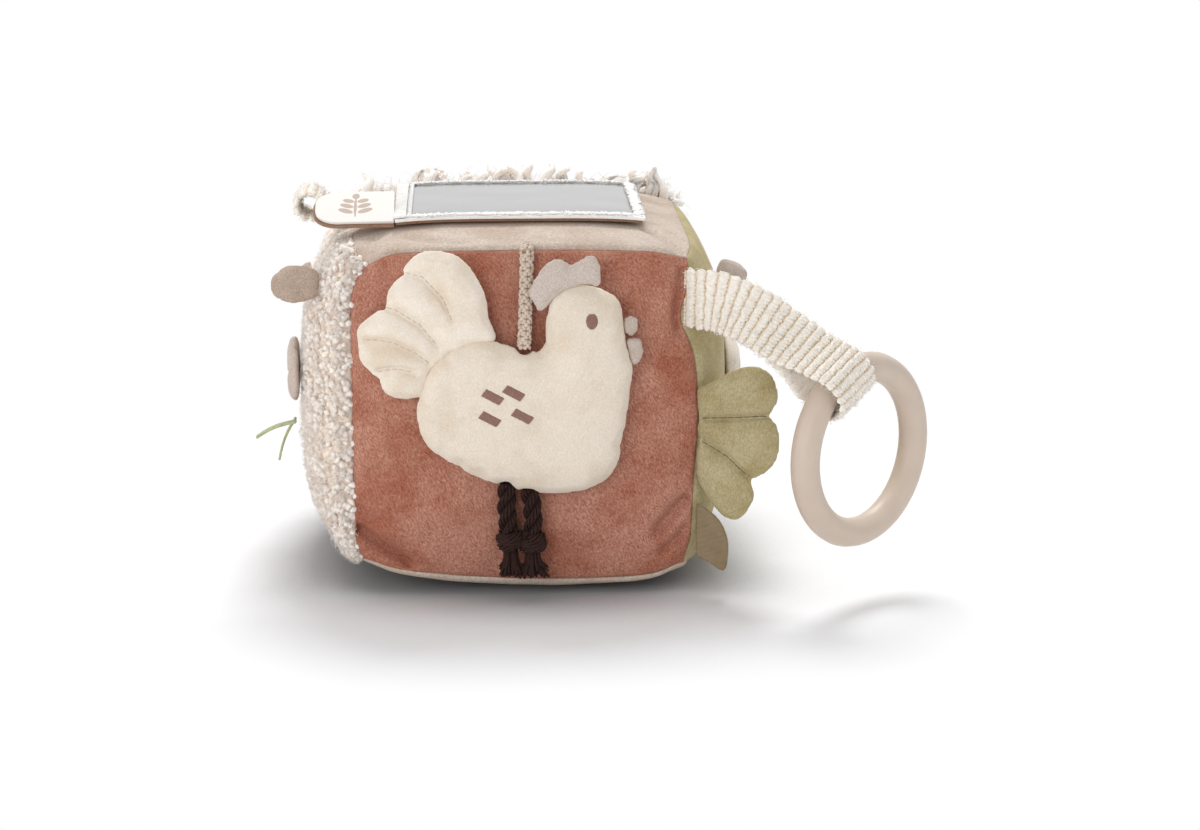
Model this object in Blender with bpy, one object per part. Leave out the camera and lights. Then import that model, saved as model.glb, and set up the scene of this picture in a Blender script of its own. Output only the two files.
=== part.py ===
"""A soft fabric activity block for a baby, in metres, with +Z up.

Six sewn panels cover a fibre filling with a rattle inside it. A play mirror with
a pull tab is sewn on top. A stuffed hen with corded legs hangs on a cord in front
of the front panel. A ribbed strap loop carries a teething ring at the right front
seam, with a quilted leaf and a folded blank label under it. Two animal faces made
of pads and ears sit on the left and right panels, and a loop to hang the block by
rises from the top left seam. The front panel faces -Y, and the block rests on
the flat middle of its bottom panel at Z = 0.
"""
import math

import bmesh
import bpy
from mathutils import Matrix, Vector
from mathutils.geometry import delaunay_2d_cdt

# Driving sizes of the block, seam to seam
BLOCK_WIDTH = 0.120
BLOCK_DEPTH = 0.120
BLOCK_HEIGHT = 0.117
SEAT_GAP = 0.0003

# How far each filled panel swells past its seams
FRONT_CROWN = 0.006
BACK_CROWN = 0.008
LEFT_CROWN = 0.014
RIGHT_CROWN = 0.0135
TOP_CROWN = 0.005
BOTTOM_CROWN = 0.007
REST_CUT_DEPTH = 0.0005

# The cloth, and the height of the woollen pile on the two furry panels
CLOTH_THICKNESS = 0.0016
LEFT_PILE = 0.0055
BACK_PILE = 0.010
CROWN_POWER_SHARE = 4
PANEL_CELLS = 10
SMOOTH_ANGLE_DEGREES = 45.0

# The rattle inside the filling
RATTLE_RADIUS = 0.0150
RATTLE_WALL = 0.0015
RATTLE_BALL_RADIUS = 0.0040
RATTLE_BALL_TRAVEL = 0.003
RATTLE_JOINT_GAP = 0.0003
FIBRE_PLUG_TAPER_SHARE = 1.15
TURNED_SIDES = 24
QUARTER_STEPS = 6
BALL_STEPS = 8
BALL_SIDES = 12
SOCKET_SIDES = 16

# The play mirror on the top panel
MIRROR_WIDTH = 0.087
MIRROR_DEPTH = 0.076
MIRROR_BACKING_THICKNESS = 0.0008
MIRROR_BACKING_TAIL = 0.008
MIRROR_TAIL_DEPTH = 0.020
MIRROR_CELLS = 8
MIRROR_FILM_THICKNESS = 0.0008
MIRROR_EDGING_WIDTH = 0.0030
MIRROR_EDGING_RISE = 0.0004
MIRROR_END_TAPE_WIDTH = 0.0040
MIRROR_END_TAPE_THICKNESS = 0.0007

# The pull tab at the mirror's left end
TAB_LENGTH = 0.0275
TAB_DEPTH = 0.0220
TAB_FACE_THICKNESS = 0.0009
TAB_BACKING_THICKNESS = 0.0009
TAB_BACKING_MARGIN = 0.0008
TAB_CORNER_RADIUS = 0.0060
TAB_CORNER_STEPS = 6
TAB_FORWARD = 0.0260
TAB_TILT_DEGREES = 19.0
TAB_HOVER = 0.0048

# The ribbed cloth of the strap and of the hanging loop
RIB_PITCH = 0.0033
RIB_HEIGHT = 0.0005
RIB_STATIONS = 4
EYE_STEPS = 10

# The hanging loop at the top left seam
HANGING_LOOP_WIDTH = 0.0210
HANGING_LOOP_REACH = 0.0199
HANGING_LOOP_THICKNESS = 0.0022
HANGING_LOOP_INNER_RADIUS = 0.0034
HANGING_LOOP_LEAN_DEGREES = 24.0
HANGING_LOOP_FORWARD = 0.0010
HANGING_LOOP_TAPER_SHARE = 2 / 3

# The stuffed hen: the frame that its outlines fill, and how far each piece swells
HEN_WIDTH = 0.0740
HEN_HEIGHT = 0.0722
HEN_LEFT = 0.0365
HEN_BOTTOM = 0.0398
HEN_BODY_FRONT_SWELL = 0.0076
HEN_BODY_BACK_SWELL = 0.0034
HEN_BODY_EDGE_REACH = 0.0150
HEN_TAIL_FRONT_SWELL = 0.0050
HEN_TAIL_BACK_SWELL = 0.0030
HEN_TAIL_EDGE_REACH = 0.0090
HEN_TRIM_SWELL = 0.0016
HEN_TRIM_EDGE_REACH = 0.0030
HEN_COMB_FORWARD = 0.0013
HEN_COMB_BACK_SWELL = 0.0008
QUILT_WIDTH = 0.0028
QUILT_DEPTH_SHARE = 0.55

# Spacing of the points that shape the stuffed pieces, and how they keep clear of the
# seams and the quilting
PILLOW_SPACING = 0.0042
TRIM_SPACING = 0.0028
FINE_SPACING_SHARE = 0.80
LEAF_SPACING_SHARE = 0.75
SMALL_TRIM_SPACING_SHARE = 0.70
EAR_SPACING_SHARE = 0.90
ROW_SPACING_SHARE = 0.866
EDGE_CLEAR_SHARE = 0.45
QUILT_CLEAR_SHARE = 0.60
MERGE_SHARE = 1e-4

# The cord that the hen hangs on
HEN_CORD_DIAMETER = 0.0052
HEN_CORD_TOP_X = 0.0017
HEN_CORD_FOOT_X = 0.0004
HEN_CORD_TOP_DROP = 0.0012
HEN_CORD_BOW = 0.0012
CORD_CAP_STEPS = 3

# The hen's legs, each a knotted cord with a frayed end
LEG_RADIUS = 0.0027
KNOT_RADIUS = 0.0034
FRAY_RADIUS = 0.0035
LEG_FOOT_HEIGHT = 0.0095
LEG_KNOT_HEIGHT = 0.0230
LEFT_LEG_TOP_X = -0.0057
LEFT_LEG_FOOT_X = -0.0034
RIGHT_LEG_TOP_X = 0.0019
RIGHT_LEG_FOOT_X = 0.0040
CORD_SIDES = 12

# The leg's radii down to its knot and past it, as shares of the way to the knot and of
# the cord's or the knot's radius, then where the fray begins and how much it draws in
LEG_CORD_SHARES = [(0.00, 1.00), (0.35, 1.00), (0.68, 1.00)]
LEG_KNOT_SHARES = [(0.84, 0.90), (1.00, 1.00), (1.14, 0.90)]
LEG_NECK_SHARES = [(1.26, 1.00)]
FRAY_START_SHARES = (0.50, 0.65)
FRAY_END_SHARE = 0.95

# The strap loop at the right front seam
STRAP_WIDTH = 0.0205
STRAP_THICKNESS = 0.0020
STRAP_SEAM_HEIGHT = 0.1050
STRAP_ROOT_RADIUS = 0.0021
STRAP_LAYER_GAP = 0.0008
STRAP_RING_CLEARANCE = 0.0026
STRAP_TAPER_LENGTH = 0.0240
STRAP_ROOT_TURN_DEGREES = -18.0
STRAP_AWAY_DEGREES = -55.0
STRAP_TUCK_LENGTH = 0.0016
STRAP_TUCK_SHARE = 0.55
STRAP_ROOT_THIN_SHARE = 0.70
STRAP_THIN_LENGTH_SHARE = 0.20
STRAP_STEP_SHARE = 1 / 64

# The teething ring, hanging upright in the strap loop
RING_OUTER_DIAMETER = 0.0680
RING_TUBE_DIAMETER = 0.0100
RING_CENTRE_X = 0.1160
RING_CENTRE_Y = -0.0670
RING_CENTRE_Z = 0.0530
RING_YAW_DEGREES = 43.0
RING_GRIP_DEGREES = 117.0
RING_TURN_CELLS = 48
RING_TUBE_CELLS = 12

# The quilted leaf at the right front seam
LEAF_LENGTH = 0.0280
LEAF_HEIGHT = 0.0536
LEAF_BOTTOM = 0.0276
LEAF_SWELL = 0.0024
LEAF_EDGE_REACH = 0.0060
LEAF_TURN_DEGREES = -6.0

# The folded label under the leaf, left blank
LABEL_LENGTH = 0.0112
LABEL_HEIGHT = 0.0240
LABEL_BOTTOM = 0.0090
LABEL_THICKNESS = 0.0012
LABEL_TURN_DEGREES = -14.0
LABEL_EDGE_CELLS = 6

# The sheep's face on the left panel
SHEEP_MUZZLE_WIDTH = 0.0300
SHEEP_MUZZLE_HEIGHT = 0.0220
SHEEP_MUZZLE_SWELL = 0.0020
SHEEP_MUZZLE_CENTRE_Y = -0.0180
SHEEP_MUZZLE_CENTRE_Z = 0.0728
EAR_LENGTH = 0.0165
EAR_WIDTH = 0.0150
EAR_SWELL = 0.0020
EAR_EDGE_REACH = 0.0040
EAR_ROOT_GAP = 0.0014
SHEEP_EAR_FRONT_ROOT_GAP = 0.0007
SHEEP_EAR_FRONT_SPREAD = 0.0260
SHEEP_EAR_REAR_SPREAD = 0.0480
SHEEP_EAR_FRONT_HEIGHT = 0.1090
SHEEP_EAR_REAR_HEIGHT = 0.1030
SHEEP_EAR_TILT_DEGREES = 35.0
SHEEP_EAR_DROOP_DEGREES = 6.0
REAR_EAR_DROOP_DEGREES = 60.0
REAR_EAR_TILT_DEGREES = 82.0

# The two ribbon blades of grass under the sheep's muzzle
GRASS_WIDTH = 0.0036
GRASS_THICKNESS = 0.0009
LONG_GRASS_LENGTH = 0.0155
LONG_GRASS_DROOP_DEGREES = 22.0
SHORT_GRASS_LENGTH = 0.0165
SHORT_GRASS_DROOP_DEGREES = 68.0
GRASS_TOP = 0.0545
GRASS_SPREAD = 0.0060
GRASS_BOW = 0.0010
GRASS_CELLS = 6

# The calf's face on the right panel
CALF_MUZZLE_WIDTH = 0.0320
CALF_MUZZLE_HEIGHT = 0.0225
CALF_MUZZLE_SWELL = 0.0048
CALF_MUZZLE_CENTRE_Z = 0.0684
CALF_EAR_HEIGHT = 0.1075
CALF_EAR_FORWARD = 0.0120
CALF_EAR_TILT_DEGREES = 40.0
CALF_EAR_DROOP_DEGREES = 30.0
CALF_EAR_SIZE_SHARE = 0.72
PAD_EDGE_REACH = 0.0060
PAD_TURN_CELLS = 24
PAD_RING_CELLS = 4

# Outlines, as shares of the width and height of the frame that each one fills
HEN_BODY_SHARES = [
    (0.800, 1.000), (0.690, 0.990), (0.620, 0.930), (0.598, 0.810), (0.575, 0.690),
    (0.480, 0.705), (0.310, 0.745), (0.140, 0.680), (0.055, 0.575), (0.005, 0.430),
    (0.018, 0.310), (0.072, 0.215), (0.165, 0.145), (0.270, 0.082), (0.365, 0.045),
    (0.470, 0.015), (0.570, 0.000), (0.705, 0.003), (0.822, 0.032), (0.903, 0.095),
    (0.939, 0.185), (0.966, 0.330), (0.994, 0.550), (0.990, 0.640), (0.966, 0.740),
    (0.952, 0.870), (0.915, 0.950)]
HEN_TAIL_SHARES = [
    (0.315, 0.860), (0.298, 0.970), (0.245, 1.085), (0.170, 1.155), (0.080, 1.182),
    (-0.005, 1.165), (-0.065, 1.115), (-0.115, 1.035), (-0.152, 0.955), (-0.210, 0.885),
    (-0.278, 0.820), (-0.293, 0.750), (-0.265, 0.655), (-0.195, 0.560), (-0.155, 0.505),
    (-0.085, 0.475), (0.000, 0.480)]
TAIL_QUILT_SHARES = [
    [(-0.105, 1.058), (0.035, 1.055), (0.130, 0.945)],
    [(-0.165, 0.910), (-0.085, 0.895), (0.055, 0.795), (0.110, 0.720)],
    [(-0.255, 0.750), (-0.105, 0.738), (0.005, 0.685), (0.065, 0.640)],
    [(-0.160, 0.595), (-0.085, 0.612), (0.000, 0.600)]]
HEN_COMB_SHARES = [
    (0.556, 0.940), (0.525, 0.975), (0.545, 1.030), (0.615, 1.110), (0.665, 1.120),
    (0.705, 1.098), (0.760, 1.130), (0.795, 1.140), (0.822, 1.100), (0.832, 1.030)]
HEN_BEAK_SHARES = [
    (0.966, 0.852), (1.005, 0.858), (1.022, 0.822), (1.005, 0.780), (0.972, 0.768)]
HEN_WATTLE_SHARES = [
    (0.978, 0.738), (1.030, 0.742), (1.048, 0.690), (1.025, 0.635), (0.996, 0.628)]
TAIL_JOIN_SHARES = (0.215, 0.345)
COMB_JOIN_SHARES = (0.995, 0.105)
BEAK_JOIN_SHARES = (0.898, 0.920)
WATTLE_JOIN_SHARES = (0.852, 0.887)
LEAF_SHARES = [
    (0.000, 0.860), (0.240, 0.920), (0.425, 0.970), (0.610, 1.000), (0.765, 0.990),
    (0.900, 0.930), (0.955, 0.845), (0.960, 0.760), (0.925, 0.680), (0.985, 0.590),
    (1.000, 0.500), (0.975, 0.400), (0.820, 0.300), (0.690, 0.245), (0.700, 0.155),
    (0.640, 0.075), (0.545, 0.005), (0.410, 0.000), (0.270, 0.040), (0.155, 0.115),
    (0.000, 0.250)]
LEAF_QUILT_SHARES = [
    [(0.060, 0.665), (0.560, 0.675), (0.900, 0.680)],
    [(0.060, 0.520), (0.330, 0.410), (0.650, 0.265)]]
LABEL_SHARES = [
    (0.000, 1.000), (0.420, 0.890), (0.800, 0.710), (1.000, 0.420), (0.930, 0.000),
    (0.450, 0.110), (0.000, 0.200)]
EAR_SHARES = [
    (0.000, 0.300), (0.250, 0.430), (0.600, 0.500), (0.880, 0.330), (1.000, 0.000),
    (0.900, -0.300), (0.600, -0.480), (0.250, -0.430), (0.000, -0.300)]


def clear_scene():
    for old in list(bpy.data.objects):
        bpy.data.objects.remove(old, do_unlink=True)


def linear(channel):
    if channel <= 0.04045:
        return channel / 12.92
    return ((channel + 0.055) / 1.055) ** 2.4


def make_material(name, hex_colour, roughness, metallic=0.0):
    material = bpy.data.materials.new(name)
    material.use_nodes = True
    colour = [linear(int(hex_colour[i:i + 2], 16) / 255) for i in (0, 2, 4)]
    shader = material.node_tree.nodes["Principled BSDF"]
    shader.inputs["Base Color"].default_value = (*colour, 1.0)
    shader.inputs["Roughness"].default_value = roughness
    shader.inputs["Metallic"].default_value = metallic
    return material


def add_node(name, bm, material, pivot=None, smooth=True):
    """Make one named object from a mesh in world places, with its origin at the pivot."""
    pivot = Vector(pivot) if pivot is not None else Vector()
    bmesh.ops.recalc_face_normals(bm, faces=bm.faces)
    bmesh.ops.translate(bm, verts=bm.verts, vec=-pivot)
    mesh = bpy.data.meshes.new(name)
    bm.to_mesh(mesh)
    bm.free()
    mesh.materials.append(material)
    if smooth:
        mesh.shade_smooth()
        mesh.set_sharp_from_angle(angle=math.radians(SMOOTH_ANGLE_DEGREES))
    obj = bpy.data.objects.new(name, mesh)
    obj.location = pivot
    bpy.context.collection.objects.link(obj)
    return obj


def smooth_line(points, steps, closed=False):
    """Points of a smooth curve through hand-chosen points (a Catmull-Rom spline)."""
    points = [Vector(p) for p in points]
    count = len(points)
    spans = count if closed else count - 1
    line = []
    for i in range(spans):
        if closed:
            a, b, c, d = (points[(i + k) % count] for k in (-1, 0, 1, 2))
        else:
            b, c = points[i], points[i + 1]
            a = points[i - 1] if i > 0 else b + (b - c)
            d = points[i + 2] if i + 2 < count else c + (c - b)
        for s in range(steps):
            t = s / steps
            line.append(0.5 * (2 * b + (c - a) * t + (2 * a - 5 * b + 4 * c - d) * t ** 2
                               + (3 * b - a - 3 * c + d) * t ** 3))
    if not closed:
        line.append(points[-1])
    return line


def in_frame(shares, left, bottom, width, height):
    return [Vector((left + u * width, bottom + v * height)) for u, v in shares]


def resample(points, spacing, closed=True):
    """Even out the points along a line, keeping its ends."""
    pairs = list(zip(points, points[1:] + points[:1] if closed else points[1:]))
    lengths = [(b - a).length for a, b in pairs]
    total = sum(lengths)
    count = max(3, round(total / spacing))
    places = count if closed else count + 1
    result = []
    for k in range(places):
        goal = total * k / count
        for (a, b), length in zip(pairs, lengths):
            if goal <= length or (a, b) == pairs[-1]:
                result.append(a.lerp(b, min(1.0, goal / length)))
                break
            goal -= length
    return result


# The swollen block and its six panels


SEAM_BOTTOM = BOTTOM_CROWN - REST_CUT_DEPTH
SEAM_TOP = SEAM_BOTTOM + BLOCK_HEIGHT
BLOCK_CENTRE = Vector((0, 0, (SEAM_BOTTOM + SEAM_TOP) / 2))
HALF_SIZES = Vector((BLOCK_WIDTH / 2, BLOCK_DEPTH / 2, BLOCK_HEIGHT / 2))
FACES = {
    "front": (Vector((0, -1, 0)), Vector((1, 0, 0)), Vector((0, 0, 1)), FRONT_CROWN, 0.0),
    "back": (Vector((0, 1, 0)), Vector((-1, 0, 0)), Vector((0, 0, 1)), BACK_CROWN, BACK_PILE),
    "left": (Vector((-1, 0, 0)), Vector((0, -1, 0)), Vector((0, 0, 1)), LEFT_CROWN, LEFT_PILE),
    "right": (Vector((1, 0, 0)), Vector((0, 1, 0)), Vector((0, 0, 1)), RIGHT_CROWN, 0.0),
    "top": (Vector((0, 0, 1)), Vector((1, 0, 0)), Vector((0, 1, 0)), TOP_CROWN, 0.0),
    "bottom": (Vector((0, 0, -1)), Vector((1, 0, 0)), Vector((0, -1, 0)), BOTTOM_CROWN, 0.0)}


def half_size(direction):
    return abs(direction.dot(HALF_SIZES))


def crown_share(u, v):
    """How much of the crown a panel has at the shares u and v of its half sizes."""
    if abs(u) >= 1 or abs(v) >= 1:
        return 0.0
    return (1 - abs(u) ** CROWN_POWER_SHARE) * (1 - abs(v) ** CROWN_POWER_SHARE)


def face_point(face, u, v, inset, crown, side_gap=0.0):
    normal, across, up, _, _ = FACES[face]
    return (BLOCK_CENTRE + across * u * (half_size(across) - inset - side_gap)
            + up * v * (half_size(up) - inset - side_gap)
            + normal * (half_size(normal) - inset + crown * crown_share(u, v)))


def cell_places():
    """Places of the grid lines across a face, closer together near the seams."""
    return [math.sin(math.pi * (i / PANEL_CELLS - 0.5)) for i in range(PANEL_CELLS + 1)]


def face_grid(bm, face, inset, crown, side_gap):
    places = cell_places()
    grid = [[bm.verts.new(face_point(face, u, v, inset, crown, side_gap)) for u in places]
            for v in places]
    for row, above in zip(grid, grid[1:]):
        for i in range(PANEL_CELLS):
            bm.faces.new((row[i], row[i + 1], above[i + 1], above[i]))
    return grid


def rim_of(grid):
    last = len(grid) - 1
    return (grid[0][:last] + [row[last] for row in grid[:last]]
            + grid[last][:0:-1] + [row[0] for row in grid[:0:-1]])


def add_panel(face, material):
    """A cloth panel with mitred edges, and with its pile where it has one."""
    crown, pile = FACES[face][3], FACES[face][4]
    bm = bmesh.new()
    outer = rim_of(face_grid(bm, face, 0.0, crown + pile, SEAT_GAP))
    inner = rim_of(face_grid(bm, face, CLOTH_THICKNESS, crown, SEAT_GAP))
    for k in range(len(outer)):
        bm.faces.new((outer[k - 1], outer[k], inner[k], inner[k - 1]))
    if face == "bottom":
        cut_flat_underneath(bm)
    return add_node(face + "_panel", bm, material)


def cut_flat_underneath(bm):
    cut = bmesh.ops.bisect_plane(bm, geom=bm.verts[:] + bm.edges[:] + bm.faces[:],
                                 plane_co=(0, 0, 0), plane_no=(0, 0, -1), clear_outer=True)
    edges = [e for e in cut["geom_cut"] if isinstance(e, bmesh.types.BMEdge)]
    bmesh.ops.contextual_create(bm, geom=edges)


def surface_out(face, first, second, lift=0.0):
    """The outer surface of a side panel, as a distance from the block's middle plane.

    first is Y on the left and right panels and X on the others; second is Z there
    and Y on the top panel.
    """
    normal, across, up, crown, pile = FACES[face]
    offset = second - BLOCK_CENTRE.dot(up) if abs(up.z) else second
    u = first / (half_size(across) - SEAT_GAP)
    v = offset / (half_size(up) - SEAT_GAP)
    return half_size(normal) + (crown + pile) * crown_share(u, v) + lift


def add_filling(material):
    """The fibre filling, with a round pocket for the rattle that opens upwards."""
    bm = bmesh.new()
    inset = CLOTH_THICKNESS + SEAT_GAP
    for face in FACES:
        face_grid(bm, face, inset, FACES[face][3] - SEAT_GAP, 0.0)
    bmesh.ops.remove_doubles(bm, verts=bm.verts, dist=SEAT_GAP / 10)
    filling = add_node("fibre_filling", bm, material)
    pocket_top = SEAM_TOP + TOP_CROWN - BLOCK_CENTRE.z
    radius = RATTLE_RADIUS + SEAT_GAP
    turns = [math.pi / 2 * k / QUARTER_STEPS for k in range(1, QUARTER_STEPS + 1)]
    cutter = turned_piece("pocket_cutter", material, [
        (0, -radius),
        *[(radius * math.sin(turn), -radius * math.cos(turn)) for turn in turns],
        (radius * FIBRE_PLUG_TAPER_SHARE, pocket_top), (0, pocket_top)], BLOCK_CENTRE)
    cutter.hide_render = True
    cutter.display_type = "WIRE"
    cut = filling.modifiers.new("pocket", "BOOLEAN")
    cut.operation = "DIFFERENCE"
    cut.solver = "EXACT"
    cut.object = cutter
    return filling


def turned_piece(name, material, profile, centre, sides=TURNED_SIDES):
    """A piece turned about the upright line through the centre, from a closed half profile."""
    bm = bmesh.new()
    rings = []
    for radius, height in profile:
        if radius <= 0:
            rings.append([bm.verts.new(Vector(centre) + Vector((0, 0, height)))])
            continue
        rings.append([bm.verts.new(Vector(centre) + Vector((
            radius * math.cos(2 * math.pi * k / sides), radius * math.sin(2 * math.pi * k / sides),
            height))) for k in range(sides)])
    for low, high in zip(rings, rings[1:]):
        for k in range(sides):
            corners = [low[k - 1] if len(low) > 1 else low[0], low[k] if len(low) > 1 else None,
                       high[k] if len(high) > 1 else high[0],
                       high[k - 1] if len(high) > 1 else None]
            bm.faces.new([c for c in corners if c is not None])
    return add_node(name, bm, material, centre)


def ball_profile(radius):
    turns = [math.pi * k / BALL_STEPS for k in range(1, BALL_STEPS)]
    return [(0, -radius), *[(radius * math.sin(turn), -radius * math.cos(turn)) for turn in turns],
            (0, radius)]


def add_rattle(shell_material, ball_material, fibre_material):
    """Two half shells that meet on a flat rim, a loose ball, and the plug of fibre above."""
    inner = RATTLE_RADIUS - RATTLE_WALL
    turns = [math.pi / 2 * k / QUARTER_STEPS for k in range(QUARTER_STEPS)]
    for name, way in (("rattle_shell_lower", -1), ("rattle_shell_upper", 1)):
        rim = way * RATTLE_JOINT_GAP / 2
        outer_wall, inner_wall = (
            [(radius * math.sin(turn), way * radius * math.cos(turn)) for turn in turns]
            for radius in (RATTLE_RADIUS, inner))
        profile = outer_wall + [(RATTLE_RADIUS, rim), (inner, rim)] + inner_wall[::-1]
        turned_piece(name, shell_material, profile, BLOCK_CENTRE)
    floor = -inner + SEAT_GAP + RATTLE_BALL_RADIUS + RATTLE_BALL_TRAVEL ** 2 / inner
    ball_centre = BLOCK_CENTRE + Vector((0, 0, floor))
    turned_piece("rattle_ball", ball_material, ball_profile(RATTLE_BALL_RADIUS), ball_centre,
                 sides=BALL_SIDES)
    bottom = BLOCK_CENTRE.z + RATTLE_RADIUS + SEAT_GAP
    top = SEAM_TOP - CLOTH_THICKNESS - SEAT_GAP
    wide = (RATTLE_RADIUS + SEAT_GAP) * FIBRE_PLUG_TAPER_SHARE - 2 * SEAT_GAP
    turned_piece("fibre_plug", fibre_material, [
        (0, 0), (RATTLE_RADIUS - SEAT_GAP, 0), (wide - SEAT_GAP, top - bottom), (0, top - bottom)],
        Vector((0, 0, bottom)))


# Sheets that lie over the top panel


def top_height(x, y, lift):
    return SEAM_TOP - half_size(Vector((0, 0, 1))) + surface_out("top", x, y, lift)


def add_draped_sheet(name, material, xs, ys, lift, thickness, hole=None):
    """A thin sheet that follows the top panel, with an opening in the hole's cells."""
    bm = bmesh.new()
    grid = [[bm.verts.new((x, y, top_height(x, y, lift))) for x in xs] for y in ys]
    for j in range(len(ys) - 1):
        for i in range(len(xs) - 1):
            if hole and hole(0.5 * (xs[i] + xs[i + 1]), 0.5 * (ys[j] + ys[j + 1])):
                continue
            bm.faces.new((grid[j][i], grid[j][i + 1], grid[j + 1][i + 1], grid[j + 1][i]))
    bmesh.ops.delete(bm, geom=[v for v in bm.verts if not v.link_faces], context="VERTS")
    raised = bmesh.ops.extrude_face_region(bm, geom=bm.faces[:], use_keep_orig=True)
    top = [v for v in raised["geom"] if isinstance(v, bmesh.types.BMVert)]
    bmesh.ops.translate(bm, verts=top, vec=(0, 0, thickness))
    return add_node(name, bm, material)


def even_places(start, end, cells):
    return [start + (end - start) * k / cells for k in range(cells + 1)]


def add_mirror(backing_material, film_material, edging_material, tape_material):
    half_x, half_y = MIRROR_WIDTH / 2, MIRROR_DEPTH / 2
    film_x, film_y = half_x - MIRROR_EDGING_WIDTH, half_y - MIRROR_EDGING_WIDTH
    cells = MIRROR_CELLS
    lift = 2 * SEAT_GAP
    back_x = half_x - MIRROR_EDGING_WIDTH / 3
    back_y = half_y - MIRROR_EDGING_WIDTH / 3
    add_draped_sheet("mirror_backing", backing_material,
                     [-back_x - MIRROR_BACKING_TAIL, *even_places(-back_x, back_x, cells)],
                     even_places(-back_y, back_y, cells), lift, MIRROR_BACKING_THICKNESS,
                     hole=lambda x, y: x < -back_x and not 0 < y < MIRROR_TAIL_DEPTH)
    lift += MIRROR_BACKING_THICKNESS + SEAT_GAP
    add_draped_sheet("mirror_film", film_material, even_places(-film_x, film_x, cells),
                     even_places(-film_y, film_y, cells), lift, MIRROR_FILM_THICKNESS)
    hole_x, hole_y = film_x + SEAT_GAP, film_y + SEAT_GAP
    add_draped_sheet("mirror_edging", edging_material,
                     [-half_x, *even_places(-hole_x, hole_x, cells), half_x],
                     [-half_y, *even_places(-hole_y, hole_y, cells), half_y],
                     lift, MIRROR_FILM_THICKNESS + MIRROR_EDGING_RISE,
                     hole=lambda x, y: abs(x) < hole_x and abs(y) < hole_y)
    lift += MIRROR_FILM_THICKNESS + MIRROR_EDGING_RISE + SEAT_GAP
    add_draped_sheet("mirror_end_tape", tape_material,
                     even_places(-half_x, -half_x + MIRROR_END_TAPE_WIDTH, 2),
                     even_places(-half_y, half_y, cells), lift, MIRROR_END_TAPE_THICKNESS)


def rounded_plate(bm, places, thickness, matrix):
    """A flat plate of the given outline, raised along local Z."""
    low = [bm.verts.new(matrix @ Vector((*p, 0))) for p in places]
    high = [bm.verts.new(matrix @ Vector((*p, thickness))) for p in places]
    bm.faces.new(low[::-1])
    bm.faces.new(high)
    for k in range(len(low)):
        bm.faces.new((low[k - 1], low[k], high[k], high[k - 1]))


def tab_outline(margin):
    """The tab from its sewn root at zero to its rounded left end."""
    radius = TAB_CORNER_RADIUS + margin
    length, half = TAB_LENGTH + margin, TAB_DEPTH / 2 + margin
    places = [Vector((0, -half)), Vector((0, half))]
    for middle, start in ((Vector((-length + radius, half - radius)), 90.0),
                          (Vector((-length + radius, -half + radius)), 180.0)):
        for k in range(TAB_CORNER_STEPS + 1):
            angle = math.radians(start + 90.0 * k / TAB_CORNER_STEPS)
            places.append(middle + radius * Vector((math.cos(angle), math.sin(angle))))
    return places[::-1]


def add_tab(face_material, backing_material):
    root = Vector((-MIRROR_WIDTH / 2 - SEAT_GAP, -TAB_FORWARD, 0))
    root.z = top_height(root.x, root.y, TAB_HOVER)
    frame = Matrix.Translation(root) @ Matrix.Rotation(math.radians(TAB_TILT_DEGREES), 4, "X")
    under = frame @ Matrix.Translation((0, 0, -SEAT_GAP - TAB_BACKING_THICKNESS))
    pivot = frame @ Vector((0, 0, TAB_FACE_THICKNESS))
    bm = bmesh.new()
    rounded_plate(bm, tab_outline(0.0), TAB_FACE_THICKNESS, frame)
    add_node("tab_face", bm, face_material, pivot)
    bm = bmesh.new()
    rounded_plate(bm, tab_outline(TAB_BACKING_MARGIN), TAB_BACKING_THICKNESS, under)
    add_node("tab_backing", bm, backing_material, pivot)
    print("tab pivot", tuple(round(c, 5) for c in pivot), "axis",
          tuple(round(c, 4) for c in frame.to_3x3() @ Vector((0, 1, 0))))


# Ribbed bands: the hanging loop and the strap


def add_band(name, material, stations, half_width, thickness, pivot):
    """A folded band swept through stations of (centre, outward, across, thickness share).

    Every rib is one rise of the outer side between two grooves.
    """
    bm = bmesh.new()
    loops = []
    for k, (centre, outward, across, share) in enumerate(stations):
        rib = RIB_HEIGHT * (0.5 - 0.5 * math.cos(2 * math.pi * k / RIB_STATIONS)) * share
        half = thickness * share / 2
        side = across * half_width
        loops.append([bm.verts.new(centre - side - outward * half),
                      bm.verts.new(centre + side - outward * half),
                      bm.verts.new(centre + side + outward * (half - RIB_HEIGHT + rib)),
                      bm.verts.new(centre - side + outward * (half - RIB_HEIGHT + rib))])
    for a, b in zip(loops, loops[1:]):
        for k in range(4):
            bm.faces.new((a[k - 1], a[k], b[k], b[k - 1]))
    bm.faces.new(loops[0])
    bm.faces.new(loops[-1][::-1])
    return add_node(name, bm, material, pivot)


def drop_outline(length, radius, root_half, taper):
    """The path of a folded band in its own plane, out along one layer and back.

    It is a round eye of the given radius about zero, and two layers that close
    towards the root, which lies at minus the length.
    """
    turn = math.pi - math.acos((radius - root_half) / taper)
    layer = [Vector((-length + (length - taper) * share, root_half)) for share in (0, 0.5, 1)]
    eye = [radius * Vector((math.cos(angle), math.sin(angle)))
           for angle in (turn * (2 * k / EYE_STEPS - 1) for k in range(EYE_STEPS + 1))]
    return [Vector((p.x, -p.y)) for p in layer] + eye + layer[::-1]


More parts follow.
